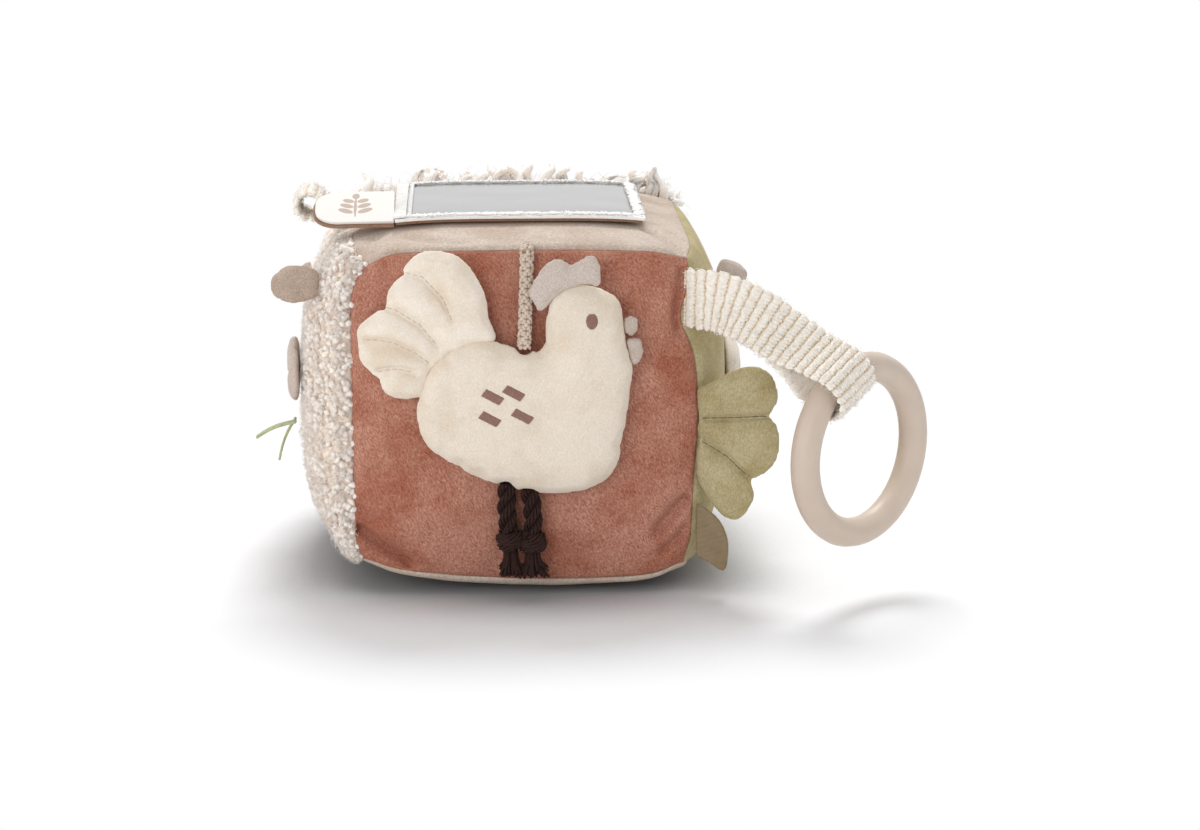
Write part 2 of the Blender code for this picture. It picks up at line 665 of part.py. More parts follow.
def add_hanging_loop(material):
    lean = math.radians(HANGING_LOOP_LEAN_DEGREES)
    out = Vector((-math.cos(lean), 0, math.sin(lean)))
    face = Vector((math.sin(lean), 0, math.cos(lean)))
    across = Vector((0, 1, 0))
    mean_radius = HANGING_LOOP_INNER_RADIUS + HANGING_LOOP_THICKNESS / 2
    half_root = HANGING_LOOP_THICKNESS / 2 + SEAT_GAP
    length = HANGING_LOOP_REACH - mean_radius - HANGING_LOOP_THICKNESS / 2
    start = Vector((-BLOCK_WIDTH / 2, -HANGING_LOOP_FORWARD, SEAM_TOP)) + out * half_root
    eye = start + out * length
    path = drop_outline(length, mean_radius, half_root, length * HANGING_LOOP_TAPER_SHARE)
    path = resample(smooth_line(path, 4), RIB_PITCH / RIB_STATIONS, closed=False)
    stations = []
    for k, p in enumerate(path):
        ahead = (path[min(k + 1, len(path) - 1)] - path[max(k - 1, 0)]).normalized()
        outward = Vector((ahead.y, -ahead.x))
        stations.append((eye + out * p.x + face * p.y, out * outward.x + face * outward.y,
                         across, 1.0))
    add_band("hanging_loop", material, stations, HANGING_LOOP_WIDTH / 2, HANGING_LOOP_THICKNESS,
             start)


def ring_frame():
    """The ring's centre, its level direction, and where the strap holds its tube."""
    centre = Vector((RING_CENTRE_X, RING_CENTRE_Y, RING_CENTRE_Z))
    level = Vector((math.cos(math.radians(RING_YAW_DEGREES)),
                    math.sin(math.radians(RING_YAW_DEGREES)), 0))
    grip = math.radians(RING_GRIP_DEGREES)
    rise = Vector((0, 0, 1))
    middle_radius = (RING_OUTER_DIAMETER - RING_TUBE_DIAMETER) / 2
    held = centre + middle_radius * (math.cos(grip) * level + math.sin(grip) * rise)
    tangent = math.sin(grip) * level - math.cos(grip) * rise
    return centre, level, middle_radius, held, tangent


def strap_line(share, start, end, start_way, end_way):
    """The strap's middle line, a smooth bend from its seam to the ring."""
    span = (end - start).length
    a, b = start_way * span, end_way * span
    t = share
    return ((2 * t ** 3 - 3 * t ** 2 + 1) * start + (t ** 3 - 2 * t ** 2 + t) * a
            + (3 * t ** 2 - 2 * t ** 3) * end + (t ** 3 - t ** 2) * b)


def add_strap(material):
    held, tangent = ring_frame()[3:]
    away = math.radians(STRAP_AWAY_DEGREES)
    away = Vector((math.cos(away), math.sin(away), 0))
    corner = Vector((BLOCK_WIDTH / 2, -BLOCK_DEPTH / 2, STRAP_SEAM_HEIGHT))
    root = corner + away * (STRAP_ROOT_RADIUS + 2 * SEAT_GAP)
    turn = math.radians(STRAP_ROOT_TURN_DEGREES)
    start_way = Vector((math.cos(turn), math.sin(turn), 0))
    end_way = held - root
    end_way = (end_way - tangent * end_way.dot(tangent)).normalized()
    upright = Vector((0, 0, 1))
    eye_radius = RING_TUBE_DIAMETER / 2 + STRAP_RING_CLEARANCE + STRAP_THICKNESS / 2
    layer_half = (STRAP_THICKNESS + STRAP_LAYER_GAP) / 2
    length = (held - root).length
    path = drop_outline(length, eye_radius, layer_half, STRAP_TAPER_LENGTH)
    tuck = Vector((-length - STRAP_TUCK_LENGTH, layer_half * STRAP_TUCK_SHARE))
    path = [Vector((tuck.x, -tuck.y)), *path, tuck]
    path = resample(smooth_line(path, 4), RIB_PITCH / RIB_STATIONS, closed=False)
    stations = []
    for k, p in enumerate(path):
        ahead = (path[min(k + 1, len(path) - 1)] - path[max(k - 1, 0)]).normalized()
        share = max(0.0, min(1.0, (p.x + length) / length))
        before = strap_line(max(0.0, share - STRAP_STEP_SHARE), root, held, start_way, end_way)
        after = strap_line(min(1.0, share + STRAP_STEP_SHARE), root, held, start_way, end_way)
        way = (after - before).normalized()
        wanted = upright.lerp(tangent, share * share * (3 - 2 * share))
        across = (wanted - way * wanted.dot(way)).normalized()
        face = across.cross(way)
        beyond = max(0.0, p.x) + min(0.0, p.x + length)
        middle = strap_line(share, root, held, start_way, end_way) + way * beyond
        outward = face * ahead.x + way * ahead.y
        thin = min(1.0, STRAP_ROOT_THIN_SHARE
                   + (1 - STRAP_ROOT_THIN_SHARE) * share / STRAP_THIN_LENGTH_SHARE)
        stations.append((middle - face * p.y, outward, across, thin))
    add_band("strap_loop", material, stations, STRAP_WIDTH / 2, STRAP_THICKNESS, root)
    print("strap pivot", tuple(round(c, 5) for c in root))
    print("ring pivot", tuple(round(c, 5) for c in held), "axis",
          tuple(round(c, 4) for c in tangent))


def add_ring(material):
    centre, level, middle_radius, held, tangent = ring_frame()
    side = level.cross(Vector((0, 0, 1)))
    tube = RING_TUBE_DIAMETER / 2
    bm = bmesh.new()
    loops = []
    for k in range(RING_TURN_CELLS):
        turn = 2 * math.pi * k / RING_TURN_CELLS
        out = math.cos(turn) * level + math.sin(turn) * Vector((0, 0, 1))
        loops.append([bm.verts.new(
            centre + out * (middle_radius + tube * math.cos(2 * math.pi * j / RING_TUBE_CELLS))
            + side * tube * math.sin(2 * math.pi * j / RING_TUBE_CELLS))
            for j in range(RING_TUBE_CELLS)])
    for k in range(RING_TURN_CELLS):
        a, b = loops[k - 1], loops[k]
        for j in range(RING_TUBE_CELLS):
            bm.faces.new((a[j - 1], a[j], b[j], b[j - 1]))
    add_node("teether_ring", bm, material, held)


# Stuffed pieces, each sewn from two cloths of one outline


def edge_distance(place, outline):
    best = math.inf
    for k in range(len(outline)):
        a, b = outline[k - 1], outline[k]
        along = b - a
        t = max(0.0, min(1.0, (place - a).dot(along) / max(along.length_squared, 1e-18)))
        best = min(best, (place - a - along * t).length)
    return best


def inside(place, outline):
    hit = False
    for k in range(len(outline)):
        a, b = outline[k - 1], outline[k]
        if (a.y > place.y) != (b.y > place.y):
            if place.x < (b.x - a.x) * (place.y - a.y) / (b.y - a.y) + a.x:
                hit = not hit
    return hit


def line_distance(place, line):
    best = math.inf
    for a, b in zip(line, line[1:]):
        along = b - a
        t = max(0.0, min(1.0, (place - a).dot(along) / along.length_squared))
        best = min(best, (place - a - along * t).length)
    return best


def swell_share(place, outline, quilting, reach):
    """How full the stuffing is at a place, from the seam at zero to the middle at one."""
    rise = min(1.0, edge_distance(place, outline) / reach)
    full = math.sqrt(max(0.0, 1 - (1 - rise) ** 2))
    for line in quilting:
        full *= 1 - QUILT_DEPTH_SHARE * math.exp(-(line_distance(place, line) / QUILT_WIDTH) ** 2)
    return full


def pillow_mesh(outline, quilting, spacing, reach, front, back, matrix):
    """Two swollen cloths that meet at the outline. Local Z points out of the front."""
    inner = []
    edge_clear = spacing * EDGE_CLEAR_SHARE
    row_height = spacing * ROW_SPACING_SHARE
    for line in quilting:
        for place in resample(line, spacing * FINE_SPACING_SHARE, closed=False):
            if inside(place, outline) and edge_distance(place, outline) > edge_clear:
                inner.append(place)
    low_x, high_x = min(p.x for p in outline), max(p.x for p in outline)
    low_y, high_y = min(p.y for p in outline), max(p.y for p in outline)
    rows = int((high_y - low_y) / row_height) + 1
    columns = int((high_x - low_x) / spacing) + 2
    for j in range(rows + 1):
        for i in range(columns + 1):
            place = Vector((low_x + (i + 0.5 * (j % 2)) * spacing, low_y + j * row_height))
            near_line = any(line_distance(place, line) < spacing * QUILT_CLEAR_SHARE
                            for line in quilting)
            if near_line or not inside(place, outline):
                continue
            if edge_distance(place, outline) > edge_clear:
                inner.append(place)
    places = outline + inner
    count = len(outline)
    edges = [(k, (k + 1) % count) for k in range(count)]
    places, _, triangles, _, _, _ = delaunay_2d_cdt(places, edges, [], 1, spacing * MERGE_SHARE)
    shares = [swell_share(p, outline, quilting, reach) if k >= count else 0.0
              for k, p in enumerate(places)]
    bm = bmesh.new()
    upper = [bm.verts.new(matrix @ Vector((p.x, p.y, front * s))) for p, s in zip(places, shares)]
    under = [upper[k] if k < count else bm.verts.new(matrix @ Vector((p.x, p.y, -back * s)))
             for k, (p, s) in enumerate(zip(places, shares))]
    for triangle in triangles:
        if all(k < count for k in triangle):
            continue
        bm.faces.new([upper[k] for k in triangle])
        bm.faces.new([under[k] for k in reversed(triangle)])
    bmesh.ops.delete(bm, geom=[v for v in bm.verts if not v.link_faces], context="VERTS")
    return bm


def hen_outline():
    corners = in_frame(HEN_BODY_SHARES, -HEN_LEFT, HEN_BOTTOM, HEN_WIDTH, HEN_HEIGHT)
    return smooth_line(corners, 4, closed=True)


def hen_plane():
    """The plane of the hen's seams, just clear of the front panel's crown."""
    return -(BLOCK_DEPTH / 2 + FRONT_CROWN + SEAT_GAP + HEN_BODY_BACK_SWELL)


def upright_frame(y):
    """Local X stays X, local Y points up, and local Z points to the front."""
    return Matrix.Translation((0, y, 0)) @ Matrix(
        ((1, 0, 0, 0), (0, 0, -1, 0), (0, 1, 0, 0), (0, 0, 0, 1)))


def stretch(outline, start_share, end_share, gap):
    """The points of a closed outline between two shares of it, moved out by a gap."""
    count = len(outline)
    first = round(start_share * count)
    last = round(end_share * count)
    if last < first:
        last += count
    result = []
    for k in range(first, last + 1):
        along = (outline[(k + 1) % count] - outline[(k - 1) % count]).normalized()
        result.append(outline[k % count] + gap * Vector((along.y, -along.x)))
    return result


def add_hen_trim(name, material, shares, join_shares, swells, reach, spacing, quilting, pivot,
                 forward=0.0):
    """A piece sewn into the hen's seam: its free outline, closed along the body's."""
    free = smooth_line(in_frame(shares, -HEN_LEFT, HEN_BOTTOM, HEN_WIDTH, HEN_HEIGHT), 4)
    body = hen_outline()
    seam = stretch(body, *join_shares, outward_sign(body) * SEAT_GAP)
    if (free[-1] - seam[0]).length > (free[-1] - seam[-1]).length:
        seam.reverse()
    outline = resample(free + seam, spacing)
    if loop_area(outline) < 0:
        outline.reverse()
    plane = upright_frame(hen_plane() - forward)
    bm = pillow_mesh(outline, quilting, spacing, reach, *swells, plane)
    return add_node(name, bm, material, pivot)


def loop_area(outline):
    return sum(a.x * b.y - b.x * a.y for a, b in zip(outline, outline[1:] + outline[:1])) / 2


def outward_sign(outline):
    return 1 if loop_area(outline) > 0 else -1


def edge_height(outline, x, highest):
    """The height where an outline crosses an upright line, at its highest or lowest."""
    crossings = []
    for k in range(len(outline)):
        a, b = outline[k - 1], outline[k]
        if (a.x > x) != (b.x > x):
            crossings.append(a.y + (b.y - a.y) * (x - a.x) / (b.x - a.x))
    return max(crossings) if highest else min(crossings)


def cord_foot():
    body = hen_outline()
    return Vector((HEN_CORD_FOOT_X, hen_plane(), edge_height(body, HEN_CORD_FOOT_X, True)))


def cord_top():
    radius = HEN_CORD_DIAMETER / 2
    drop = SEAM_TOP - HEN_CORD_TOP_DROP
    y = -surface_out("front", HEN_CORD_TOP_X, drop, radius + SEAT_GAP)
    return Vector((HEN_CORD_TOP_X, y, drop))


def leg_top(x):
    return Vector((x, hen_plane(), edge_height(hen_outline(), x, False)))


def ball_cutter(name, centre, radius, material):
    cutter = turned_piece(name, material, ball_profile(radius), centre, sides=SOCKET_SIDES)
    cutter.hide_render = True
    cutter.display_type = "WIRE"
    return cutter


def add_hen(cream, tail_cream, trim_cloth):
    pivot = cord_foot()
    outline = resample(hen_outline(), PILLOW_SPACING * FINE_SPACING_SHARE)
    bm = pillow_mesh(outline, [], PILLOW_SPACING, HEN_BODY_EDGE_REACH, HEN_BODY_FRONT_SWELL,
                     HEN_BODY_BACK_SWELL, upright_frame(hen_plane()))
    body = add_node("hen_body", bm, cream, pivot)
    sockets = [("cord", pivot, HEN_CORD_DIAMETER / 2),
               ("left_leg", leg_top(LEFT_LEG_TOP_X), LEG_RADIUS),
               ("right_leg", leg_top(RIGHT_LEG_TOP_X), LEG_RADIUS)]
    for name, centre, radius in sockets:
        cut = body.modifiers.new(name + "_socket", "BOOLEAN")
        cut.operation = "DIFFERENCE"
        cut.solver = "EXACT"
        cut.object = ball_cutter(name + "_socket", centre, radius + 2 * SEAT_GAP, cream)
    frame = (-HEN_LEFT, HEN_BOTTOM, HEN_WIDTH, HEN_HEIGHT)
    quilting = [smooth_line(in_frame(line, *frame), 3) for line in TAIL_QUILT_SHARES]
    add_hen_trim("hen_tail", tail_cream, HEN_TAIL_SHARES, TAIL_JOIN_SHARES,
                 (HEN_TAIL_FRONT_SWELL, HEN_TAIL_BACK_SWELL), HEN_TAIL_EDGE_REACH,
                 PILLOW_SPACING * FINE_SPACING_SHARE, quilting, pivot)
    add_hen_trim("hen_comb", trim_cloth, HEN_COMB_SHARES, COMB_JOIN_SHARES,
                 (HEN_TRIM_SWELL, HEN_COMB_BACK_SWELL), HEN_TRIM_EDGE_REACH, TRIM_SPACING,
                 [], pivot, HEN_COMB_FORWARD)
    for name, shares, join in (("hen_beak", HEN_BEAK_SHARES, BEAK_JOIN_SHARES),
                               ("hen_wattle", HEN_WATTLE_SHARES, WATTLE_JOIN_SHARES)):
        add_hen_trim(name, trim_cloth, shares, join, (HEN_TRIM_SWELL, HEN_TRIM_SWELL),
                     HEN_TRIM_EDGE_REACH, TRIM_SPACING * SMALL_TRIM_SPACING_SHARE, [], pivot)
    print("hen pivot", tuple(round(c, 5) for c in pivot))


def swept_round(name, material, rounds, pivot):
    """A round solid swept along an upright line, from a place and a radius at each step."""
    bm = bmesh.new()
    loops = []
    turns = [2 * math.pi * k / CORD_SIDES for k in range(CORD_SIDES)]
    for place, radius in rounds:
        loops.append([bm.verts.new(place + radius * Vector((math.cos(turn), math.sin(turn), 0)))
                      for turn in turns])
    for a, b in zip(loops, loops[1:]):
        for k in range(CORD_SIDES):
            bm.faces.new((a[k - 1], a[k], b[k], b[k - 1]))
    bm.faces.new(loops[0][::-1])
    bm.faces.new(loops[-1])
    return add_node(name, bm, material, pivot)


def round_cap(end, radius, way):
    """The rounded end of a cord, up or down, as places and radii from its tip inwards."""
    turns = [math.pi / 2 * (k + 1) / (CORD_CAP_STEPS + 1) for k in range(CORD_CAP_STEPS)]
    return [(end + Vector((0, 0, way * radius * math.cos(turn))), radius * math.sin(turn))
            for turn in turns]


def add_hen_cord(material):
    """The hanging cord, rounded at its foot, following the front panel down to the hen."""
    top, foot = cord_top(), cord_foot()
    radius = HEN_CORD_DIAMETER / 2
    middle = (top + foot) / 2 + Vector((0, -HEN_CORD_BOW, 0))
    line = smooth_line([top, middle, foot], 6)
    upper = round_cap(top, radius, 1)
    lower = round_cap(foot, radius, -1)[::-1]
    rounds = upper + [(place, radius) for place in line] + lower
    swept_round("hen_cord", material, rounds, top)
    print("cord pivot", tuple(round(c, 5) for c in top), "foot", tuple(round(c, 5) for c in foot))


def add_leg(name, material, top_x, foot_x):
    """One leg: a cord end under the hen's seam, a knot, and a frayed foot."""
    top = leg_top(top_x)
    foot = Vector((foot_x, top.y, LEG_FOOT_HEIGHT))
    knot_share = (top.z - LEG_KNOT_HEIGHT) / (top.z - foot.z)
    rounds = round_cap(top, LEG_RADIUS, 1)
    for shares, radius in ((LEG_CORD_SHARES, LEG_RADIUS), (LEG_KNOT_SHARES, KNOT_RADIUS),
                           (LEG_NECK_SHARES, LEG_RADIUS)):
        rounds += [(top.lerp(foot, share * knot_share), radius * size) for share, size in shares]
    fray_start = FRAY_START_SHARES[0] + FRAY_START_SHARES[1] * knot_share
    rounds += [(top.lerp(foot, fray_start), FRAY_RADIUS), (foot, FRAY_RADIUS * FRAY_END_SHARE)]
    swept_round(name, material, rounds, top)
    print(name, "pivot", tuple(round(c, 5) for c in top))


# Pieces sewn into the right front seam


def seam_frame(turn_degrees, pivot):
    """Local X points away from the seam, local Y up, local Z to the front."""
    turn = math.radians(turn_degrees)
    out = Vector((math.cos(turn), math.sin(turn), 0))
    front = Vector((math.sin(turn), -math.cos(turn), 0))
    frame = Matrix((out, Vector((0, 0, 1)), front)).transposed().to_4x4()
    return Matrix.Translation(pivot) @ frame


def seam_pivot(height, gap):
    return Vector((BLOCK_WIDTH / 2 + gap, -BLOCK_DEPTH / 2 - gap, height))


def add_leaf(material):
    pivot = seam_pivot(LEAF_BOTTOM, SEAT_GAP)
    frame = (0, 0, LEAF_LENGTH, LEAF_HEIGHT)
    corners = in_frame(LEAF_SHARES, *frame)
    free = smooth_line(corners, 4)
    outline = resample(free, PILLOW_SPACING * LEAF_SPACING_SHARE)
    if loop_area(outline) < 0:
        outline.reverse()
    quilting = [smooth_line(in_frame(line, *frame), 4) for line in LEAF_QUILT_SHARES]
    bm = pillow_mesh(outline, quilting, PILLOW_SPACING * LEAF_SPACING_SHARE, LEAF_EDGE_REACH,
                     LEAF_SWELL, LEAF_SWELL, seam_frame(LEAF_TURN_DEGREES, pivot))
    add_node("leaf", bm, material, pivot)
    print("leaf pivot", tuple(round(c, 5) for c in pivot))


def add_label(material):
    """A folded label: two layers of tape that meet in a rounded fold at the free end."""
    pivot = seam_pivot(LABEL_BOTTOM, SEAT_GAP)
    outline = in_frame(LABEL_SHARES, 0, 0, LABEL_LENGTH, LABEL_HEIGHT)
    outline = resample(smooth_line(outline, 3, closed=False), LABEL_LENGTH / LABEL_EDGE_CELLS)
    if loop_area(outline) < 0:
        outline.reverse()
    frame = seam_frame(LABEL_TURN_DEGREES, pivot) @ Matrix.Translation((0, 0, SEAT_GAP))
    bm = bmesh.new()
    rounded_plate(bm, outline, LABEL_THICKNESS, frame)
    add_node("label", bm, material, pivot, smooth=False)
    print("label pivot", tuple(round(c, 5) for c in pivot))


# The faces on the side panels


def add_face_pad(name, material, face, width, height, centre_y, centre_z, swell):
    """An oval stuffed pad that follows a side panel's swell."""
    sign = -1 if face == "left" else 1
    bm = bmesh.new()

    def place(radius_share, angle, rise):
        y = centre_y + 0.5 * width * radius_share * math.cos(angle)
        z = centre_z + 0.5 * height * radius_share * math.sin(angle)
        return Vector((sign * surface_out(face, y, z, rise), y, z))

    layers = []
    for layer in ("under", "over"):
        loops = []
        for k in range(1, PAD_RING_CELLS + 1):
            share = math.sin(math.pi / 2 * k / PAD_RING_CELLS)
            edge = (1 - share) * 0.5 * height
            full = min(1.0, edge / PAD_EDGE_REACH)
            rise = 2 * SEAT_GAP
            if layer == "over":
                rise += CLOTH_THICKNESS / 2 + swell * math.sqrt(1 - (1 - full) ** 2)
            loops.append([bm.verts.new(place(share, 2 * math.pi * j / PAD_TURN_CELLS, rise))
                          for j in range(PAD_TURN_CELLS)])
        rise = 2 * SEAT_GAP if layer == "under" else 2 * SEAT_GAP + CLOTH_THICKNESS / 2 + swell
        middle = bm.verts.new(place(0, 0, rise))
        for j in range(PAD_TURN_CELLS):
            bm.faces.new((middle, loops[0][j - 1], loops[0][j]))
        for a, b in zip(loops, loops[1:]):
            for j in range(PAD_TURN_CELLS):
                bm.faces.new((a[j - 1], b[j - 1], b[j], a[j]))
        layers.append(loops[-1])
    for j in range(PAD_TURN_CELLS):
        bm.faces.new((layers[0][j - 1], layers[0][j], layers[1][j], layers[1][j - 1]))
    return add_node(name, bm, material)


def add_ear(name, material, face, y, z, tilt, droop, size_share=1.0, root_gap=EAR_ROOT_GAP):
    """A stuffed ear whose root is sewn to a side panel, tilted about its own length."""
    sign = -1 if face == "left" else 1
    root = Vector((sign * surface_out(face, y, z, root_gap), y, z))
    down = math.radians(droop)
    out = Vector((sign * math.cos(down), 0, -math.sin(down)))
    rise = Vector((sign * math.sin(down), 0, math.cos(down)))
    tip = math.radians(tilt)
    depth = Vector((0, 1, 0))
    width_way = rise * math.cos(tip) + depth * math.sin(tip)
    normal = out.cross(width_way)
    frame = Matrix.Translation(root) @ Matrix((out, width_way, normal)).transposed().to_4x4()
    corners = in_frame(EAR_SHARES, 0, 0, EAR_LENGTH * size_share, EAR_WIDTH * size_share)
    outline = resample(smooth_line(corners, 3), TRIM_SPACING * EAR_SPACING_SHARE)
    if loop_area(outline) < 0:
        outline.reverse()
    bm = pillow_mesh(outline, [], TRIM_SPACING, EAR_EDGE_REACH, EAR_SWELL, EAR_SWELL, frame)
    print(name, "pivot", tuple(round(c, 5) for c in root), "axis",
          tuple(round(c, 4) for c in width_way))
    return add_node(name, bm, material, root)


def add_grass_blade(name, material, y, length, droop_degrees):
    """A flat ribbon that bows a little along its length."""
    root = Vector((-surface_out("left", y, GRASS_TOP, 2 * SEAT_GAP), y, GRASS_TOP))
    droop = math.radians(droop_degrees)
    out = Vector((-math.cos(droop), 0, -math.sin(droop)))
    normal = Vector((-math.sin(droop), 0, math.cos(droop)))
    side = Vector((0, GRASS_WIDTH / 2, 0))
    bm = bmesh.new()
    loops = []
    for k in range(GRASS_CELLS + 1):
        share = k / GRASS_CELLS
        middle = root + out * length * share + normal * GRASS_BOW * math.sin(math.pi * share)
        loops.append([bm.verts.new(middle - side), bm.verts.new(middle + side),
                      bm.verts.new(middle + side + normal * GRASS_THICKNESS),
                      bm.verts.new(middle - side + normal * GRASS_THICKNESS)])
    for a, b in zip(loops, loops[1:]):
        for k in range(4):
            bm.faces.new((a[k - 1], a[k], b[k], b[k - 1]))
    bm.faces.new(loops[0])
    bm.faces.new(loops[-1][::-1])
    print(name, "pivot", tuple(round(c, 5) for c in root))
    return add_node(name, bm, material, root)


def build():
    clear_scene()
    fibre = make_material("polyester_fibre", "f2f0ec", 1.0)
    terracotta = make_material("terracotta_velour", "a1705f", 0.95)
    taupe = make_material("taupe_velour", "c5b2a7", 0.95)
    sherpa = make_material("cream_sherpa", "dfd0c5", 1.0)
    curly = make_material("curly_pile", "e3d6cd", 1.0)
    sage = make_material("sage_velour", "b5b286", 0.95)
    beige = make_material("beige_cotton", "d8cabb", 0.95)
    suede = make_material("brown_suede", "8a6559", 0.95)
    mirror = make_material("mirror_film", "cbcbcb", 0.08, 1.0)
    white = make_material("white_cotton", "efeeea", 0.9)
    corduroy = make_material("cream_corduroy", "e8ddd0", 0.95)
    cream = make_material("cream_velour", "e8e0d5", 0.95)
    trim_taupe = make_material("taupe_trim_velour", "a89386", 0.95)
    grass = make_material("grass_ribbon", "a9b07f", 0.8)
    cord = make_material("braided_cord", "a88c79", 0.9)
    dark_cord = make_material("dark_cord", "2c1716", 0.95)
    silicone = make_material("ring_silicone", "cbbbac", 0.5)
    label_tape = make_material("label_tape", "8a7453", 0.85)
    plastic = make_material("rattle_plastic", "e6e2da", 0.4)
    bead = make_material("rattle_bead", "9a9a9a", 0.35)

    panel_cloths = {"front": terracotta, "back": curly, "left": sherpa, "right": sage,
                    "top": taupe, "bottom": beige}
    for face, cloth in panel_cloths.items():
        add_panel(face, cloth)
    add_filling(fibre)
    add_rattle(plastic, bead, fibre)
    add_mirror(suede, mirror, white, white)
    add_tab(white, suede)
    add_hanging_loop(corduroy)
    add_hen(cream, cream, trim_taupe)
    add_hen_cord(cord)
    add_leg("leg_left", dark_cord, LEFT_LEG_TOP_X, LEFT_LEG_FOOT_X)
    add_leg("leg_right", dark_cord, RIGHT_LEG_TOP_X, RIGHT_LEG_FOOT_X)
    add_strap(corduroy)
    add_ring(silicone)
    add_leaf(sage)
    add_label(label_tape)
    add_face_pad("sheep_muzzle", trim_taupe, "left", SHEEP_MUZZLE_WIDTH, SHEEP_MUZZLE_HEIGHT,
                 SHEEP_MUZZLE_CENTRE_Y, SHEEP_MUZZLE_CENTRE_Z, SHEEP_MUZZLE_SWELL)
    add_ear("sheep_ear_front", trim_taupe, "left", SHEEP_MUZZLE_CENTRE_Y - SHEEP_EAR_FRONT_SPREAD,
            SHEEP_EAR_FRONT_HEIGHT, SHEEP_EAR_TILT_DEGREES, SHEEP_EAR_DROOP_DEGREES,
            root_gap=SHEEP_EAR_FRONT_ROOT_GAP)
    add_ear("sheep_ear_rear", trim_taupe, "left", SHEEP_MUZZLE_CENTRE_Y + SHEEP_EAR_REAR_SPREAD,
            SHEEP_EAR_REAR_HEIGHT, REAR_EAR_TILT_DEGREES, REAR_EAR_DROOP_DEGREES)
    add_grass_blade("grass_blade_long", grass, SHEEP_MUZZLE_CENTRE_Y - GRASS_SPREAD,
                    LONG_GRASS_LENGTH, LONG_GRASS_DROOP_DEGREES)
    add_grass_blade("grass_blade_short", grass, SHEEP_MUZZLE_CENTRE_Y, SHORT_GRASS_LENGTH,
                    SHORT_GRASS_DROOP_DEGREES)
    add_face_pad("calf_muzzle", cream, "right", CALF_MUZZLE_WIDTH, CALF_MUZZLE_HEIGHT,
                 0.0, CALF_MUZZLE_CENTRE_Z, CALF_MUZZLE_SWELL)
    add_ear("calf_ear_front", trim_taupe, "right", -CALF_EAR_FORWARD, CALF_EAR_HEIGHT,
            CALF_EAR_TILT_DEGREES, CALF_EAR_DROOP_DEGREES, CALF_EAR_SIZE_SHARE)


build()
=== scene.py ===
# %% [markdown]
# # A soft fabric activity block
# The real object is a stuffed cloth cube with six different faces, a mirror on top,
# a flat stuffed hen on a cord in front and a ribbed strap with a teething ring.
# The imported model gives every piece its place; this lesson dresses each one in cloth.

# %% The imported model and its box
import math
import bpy
import numpy as np
from mathutils import Matrix, Vector, noise
from mathutils.bvhtree import BVHTree


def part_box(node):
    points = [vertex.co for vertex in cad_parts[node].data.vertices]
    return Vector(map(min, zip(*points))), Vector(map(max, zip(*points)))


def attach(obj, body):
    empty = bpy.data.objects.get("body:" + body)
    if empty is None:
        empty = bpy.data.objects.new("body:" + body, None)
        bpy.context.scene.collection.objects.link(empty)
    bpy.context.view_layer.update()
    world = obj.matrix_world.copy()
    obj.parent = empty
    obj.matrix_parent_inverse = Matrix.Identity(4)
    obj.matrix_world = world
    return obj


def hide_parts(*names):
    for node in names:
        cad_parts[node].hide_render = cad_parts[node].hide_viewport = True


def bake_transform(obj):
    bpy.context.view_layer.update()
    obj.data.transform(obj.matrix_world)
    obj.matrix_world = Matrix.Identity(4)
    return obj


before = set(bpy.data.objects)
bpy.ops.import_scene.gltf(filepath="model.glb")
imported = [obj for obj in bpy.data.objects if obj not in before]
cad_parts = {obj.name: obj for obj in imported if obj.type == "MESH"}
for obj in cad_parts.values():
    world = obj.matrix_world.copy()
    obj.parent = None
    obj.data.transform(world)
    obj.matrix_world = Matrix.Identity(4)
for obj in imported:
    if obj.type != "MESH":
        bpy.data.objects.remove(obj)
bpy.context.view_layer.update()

MM = 0.001

# %% [markdown]
# ## Tools for the hand
# Every operator acts on what is selected, so one helper selects a single object.
# A mesh can come from an operator or from plain lists of points and faces; both end
# as an object at the origin. Modifiers are applied, so that nothing stays live.

# %% Selecting, making and applying
def only(piece):
    """Selects one object and nothing else."""
    bpy.ops.object.select_all(action="DESELECT")
    piece.select_set(True)
    bpy.context.view_layer.objects.active = piece


def mesh_piece(name, points, faces):
    """An object at the origin from points in metres and faces."""
    mesh = bpy.data.meshes.new(name)
    mesh.from_pydata(np.asarray(points).tolist(), [], faces)
    mesh.polygons.foreach_set("use_smooth", [True] * len(mesh.polygons))
    mesh.update()
    piece = bpy.data.objects.new(name, mesh)
    bpy.context.scene.collection.objects.link(piece)
    return piece


def apply_all(piece):
    """Applies the modifiers of a piece, first to last."""
    only(piece)
    for modifier in list(piece.modifiers):
        bpy.ops.object.modifier_apply(modifier=modifier.name)


def face_outwards(piece, merge=None):
    """Turns every face of a piece outwards, and may first merge points that coincide."""
    only(piece)
    bpy.ops.object.mode_set(mode="EDIT")
    bpy.ops.mesh.select_all(action="SELECT")
    if merge:
        bpy.ops.mesh.remove_doubles(threshold=merge)
    bpy.ops.mesh.normals_make_consistent(inside=False)
    bpy.ops.object.mode_set(mode="OBJECT")


def thicken(piece, thickness, rim_width):
    """Gives a sheet its thickness downwards and a softened rim."""
    wall = piece.modifiers.new("wall", "SOLIDIFY")
    wall.thickness = thickness
    wall.offset = -1
    rim = piece.modifiers.new("rim", "BEVEL")
    rim.width = rim_width
    rim.segments = 2
    rim.limit_method = "ANGLE"
    apply_all(piece)


def points_of(piece):
    """The points of a mesh as an array."""
    flat = np.empty(len(piece.data.vertices) * 3)
    piece.data.vertices.foreach_get("co", flat)
    return flat.reshape(-1, 3)


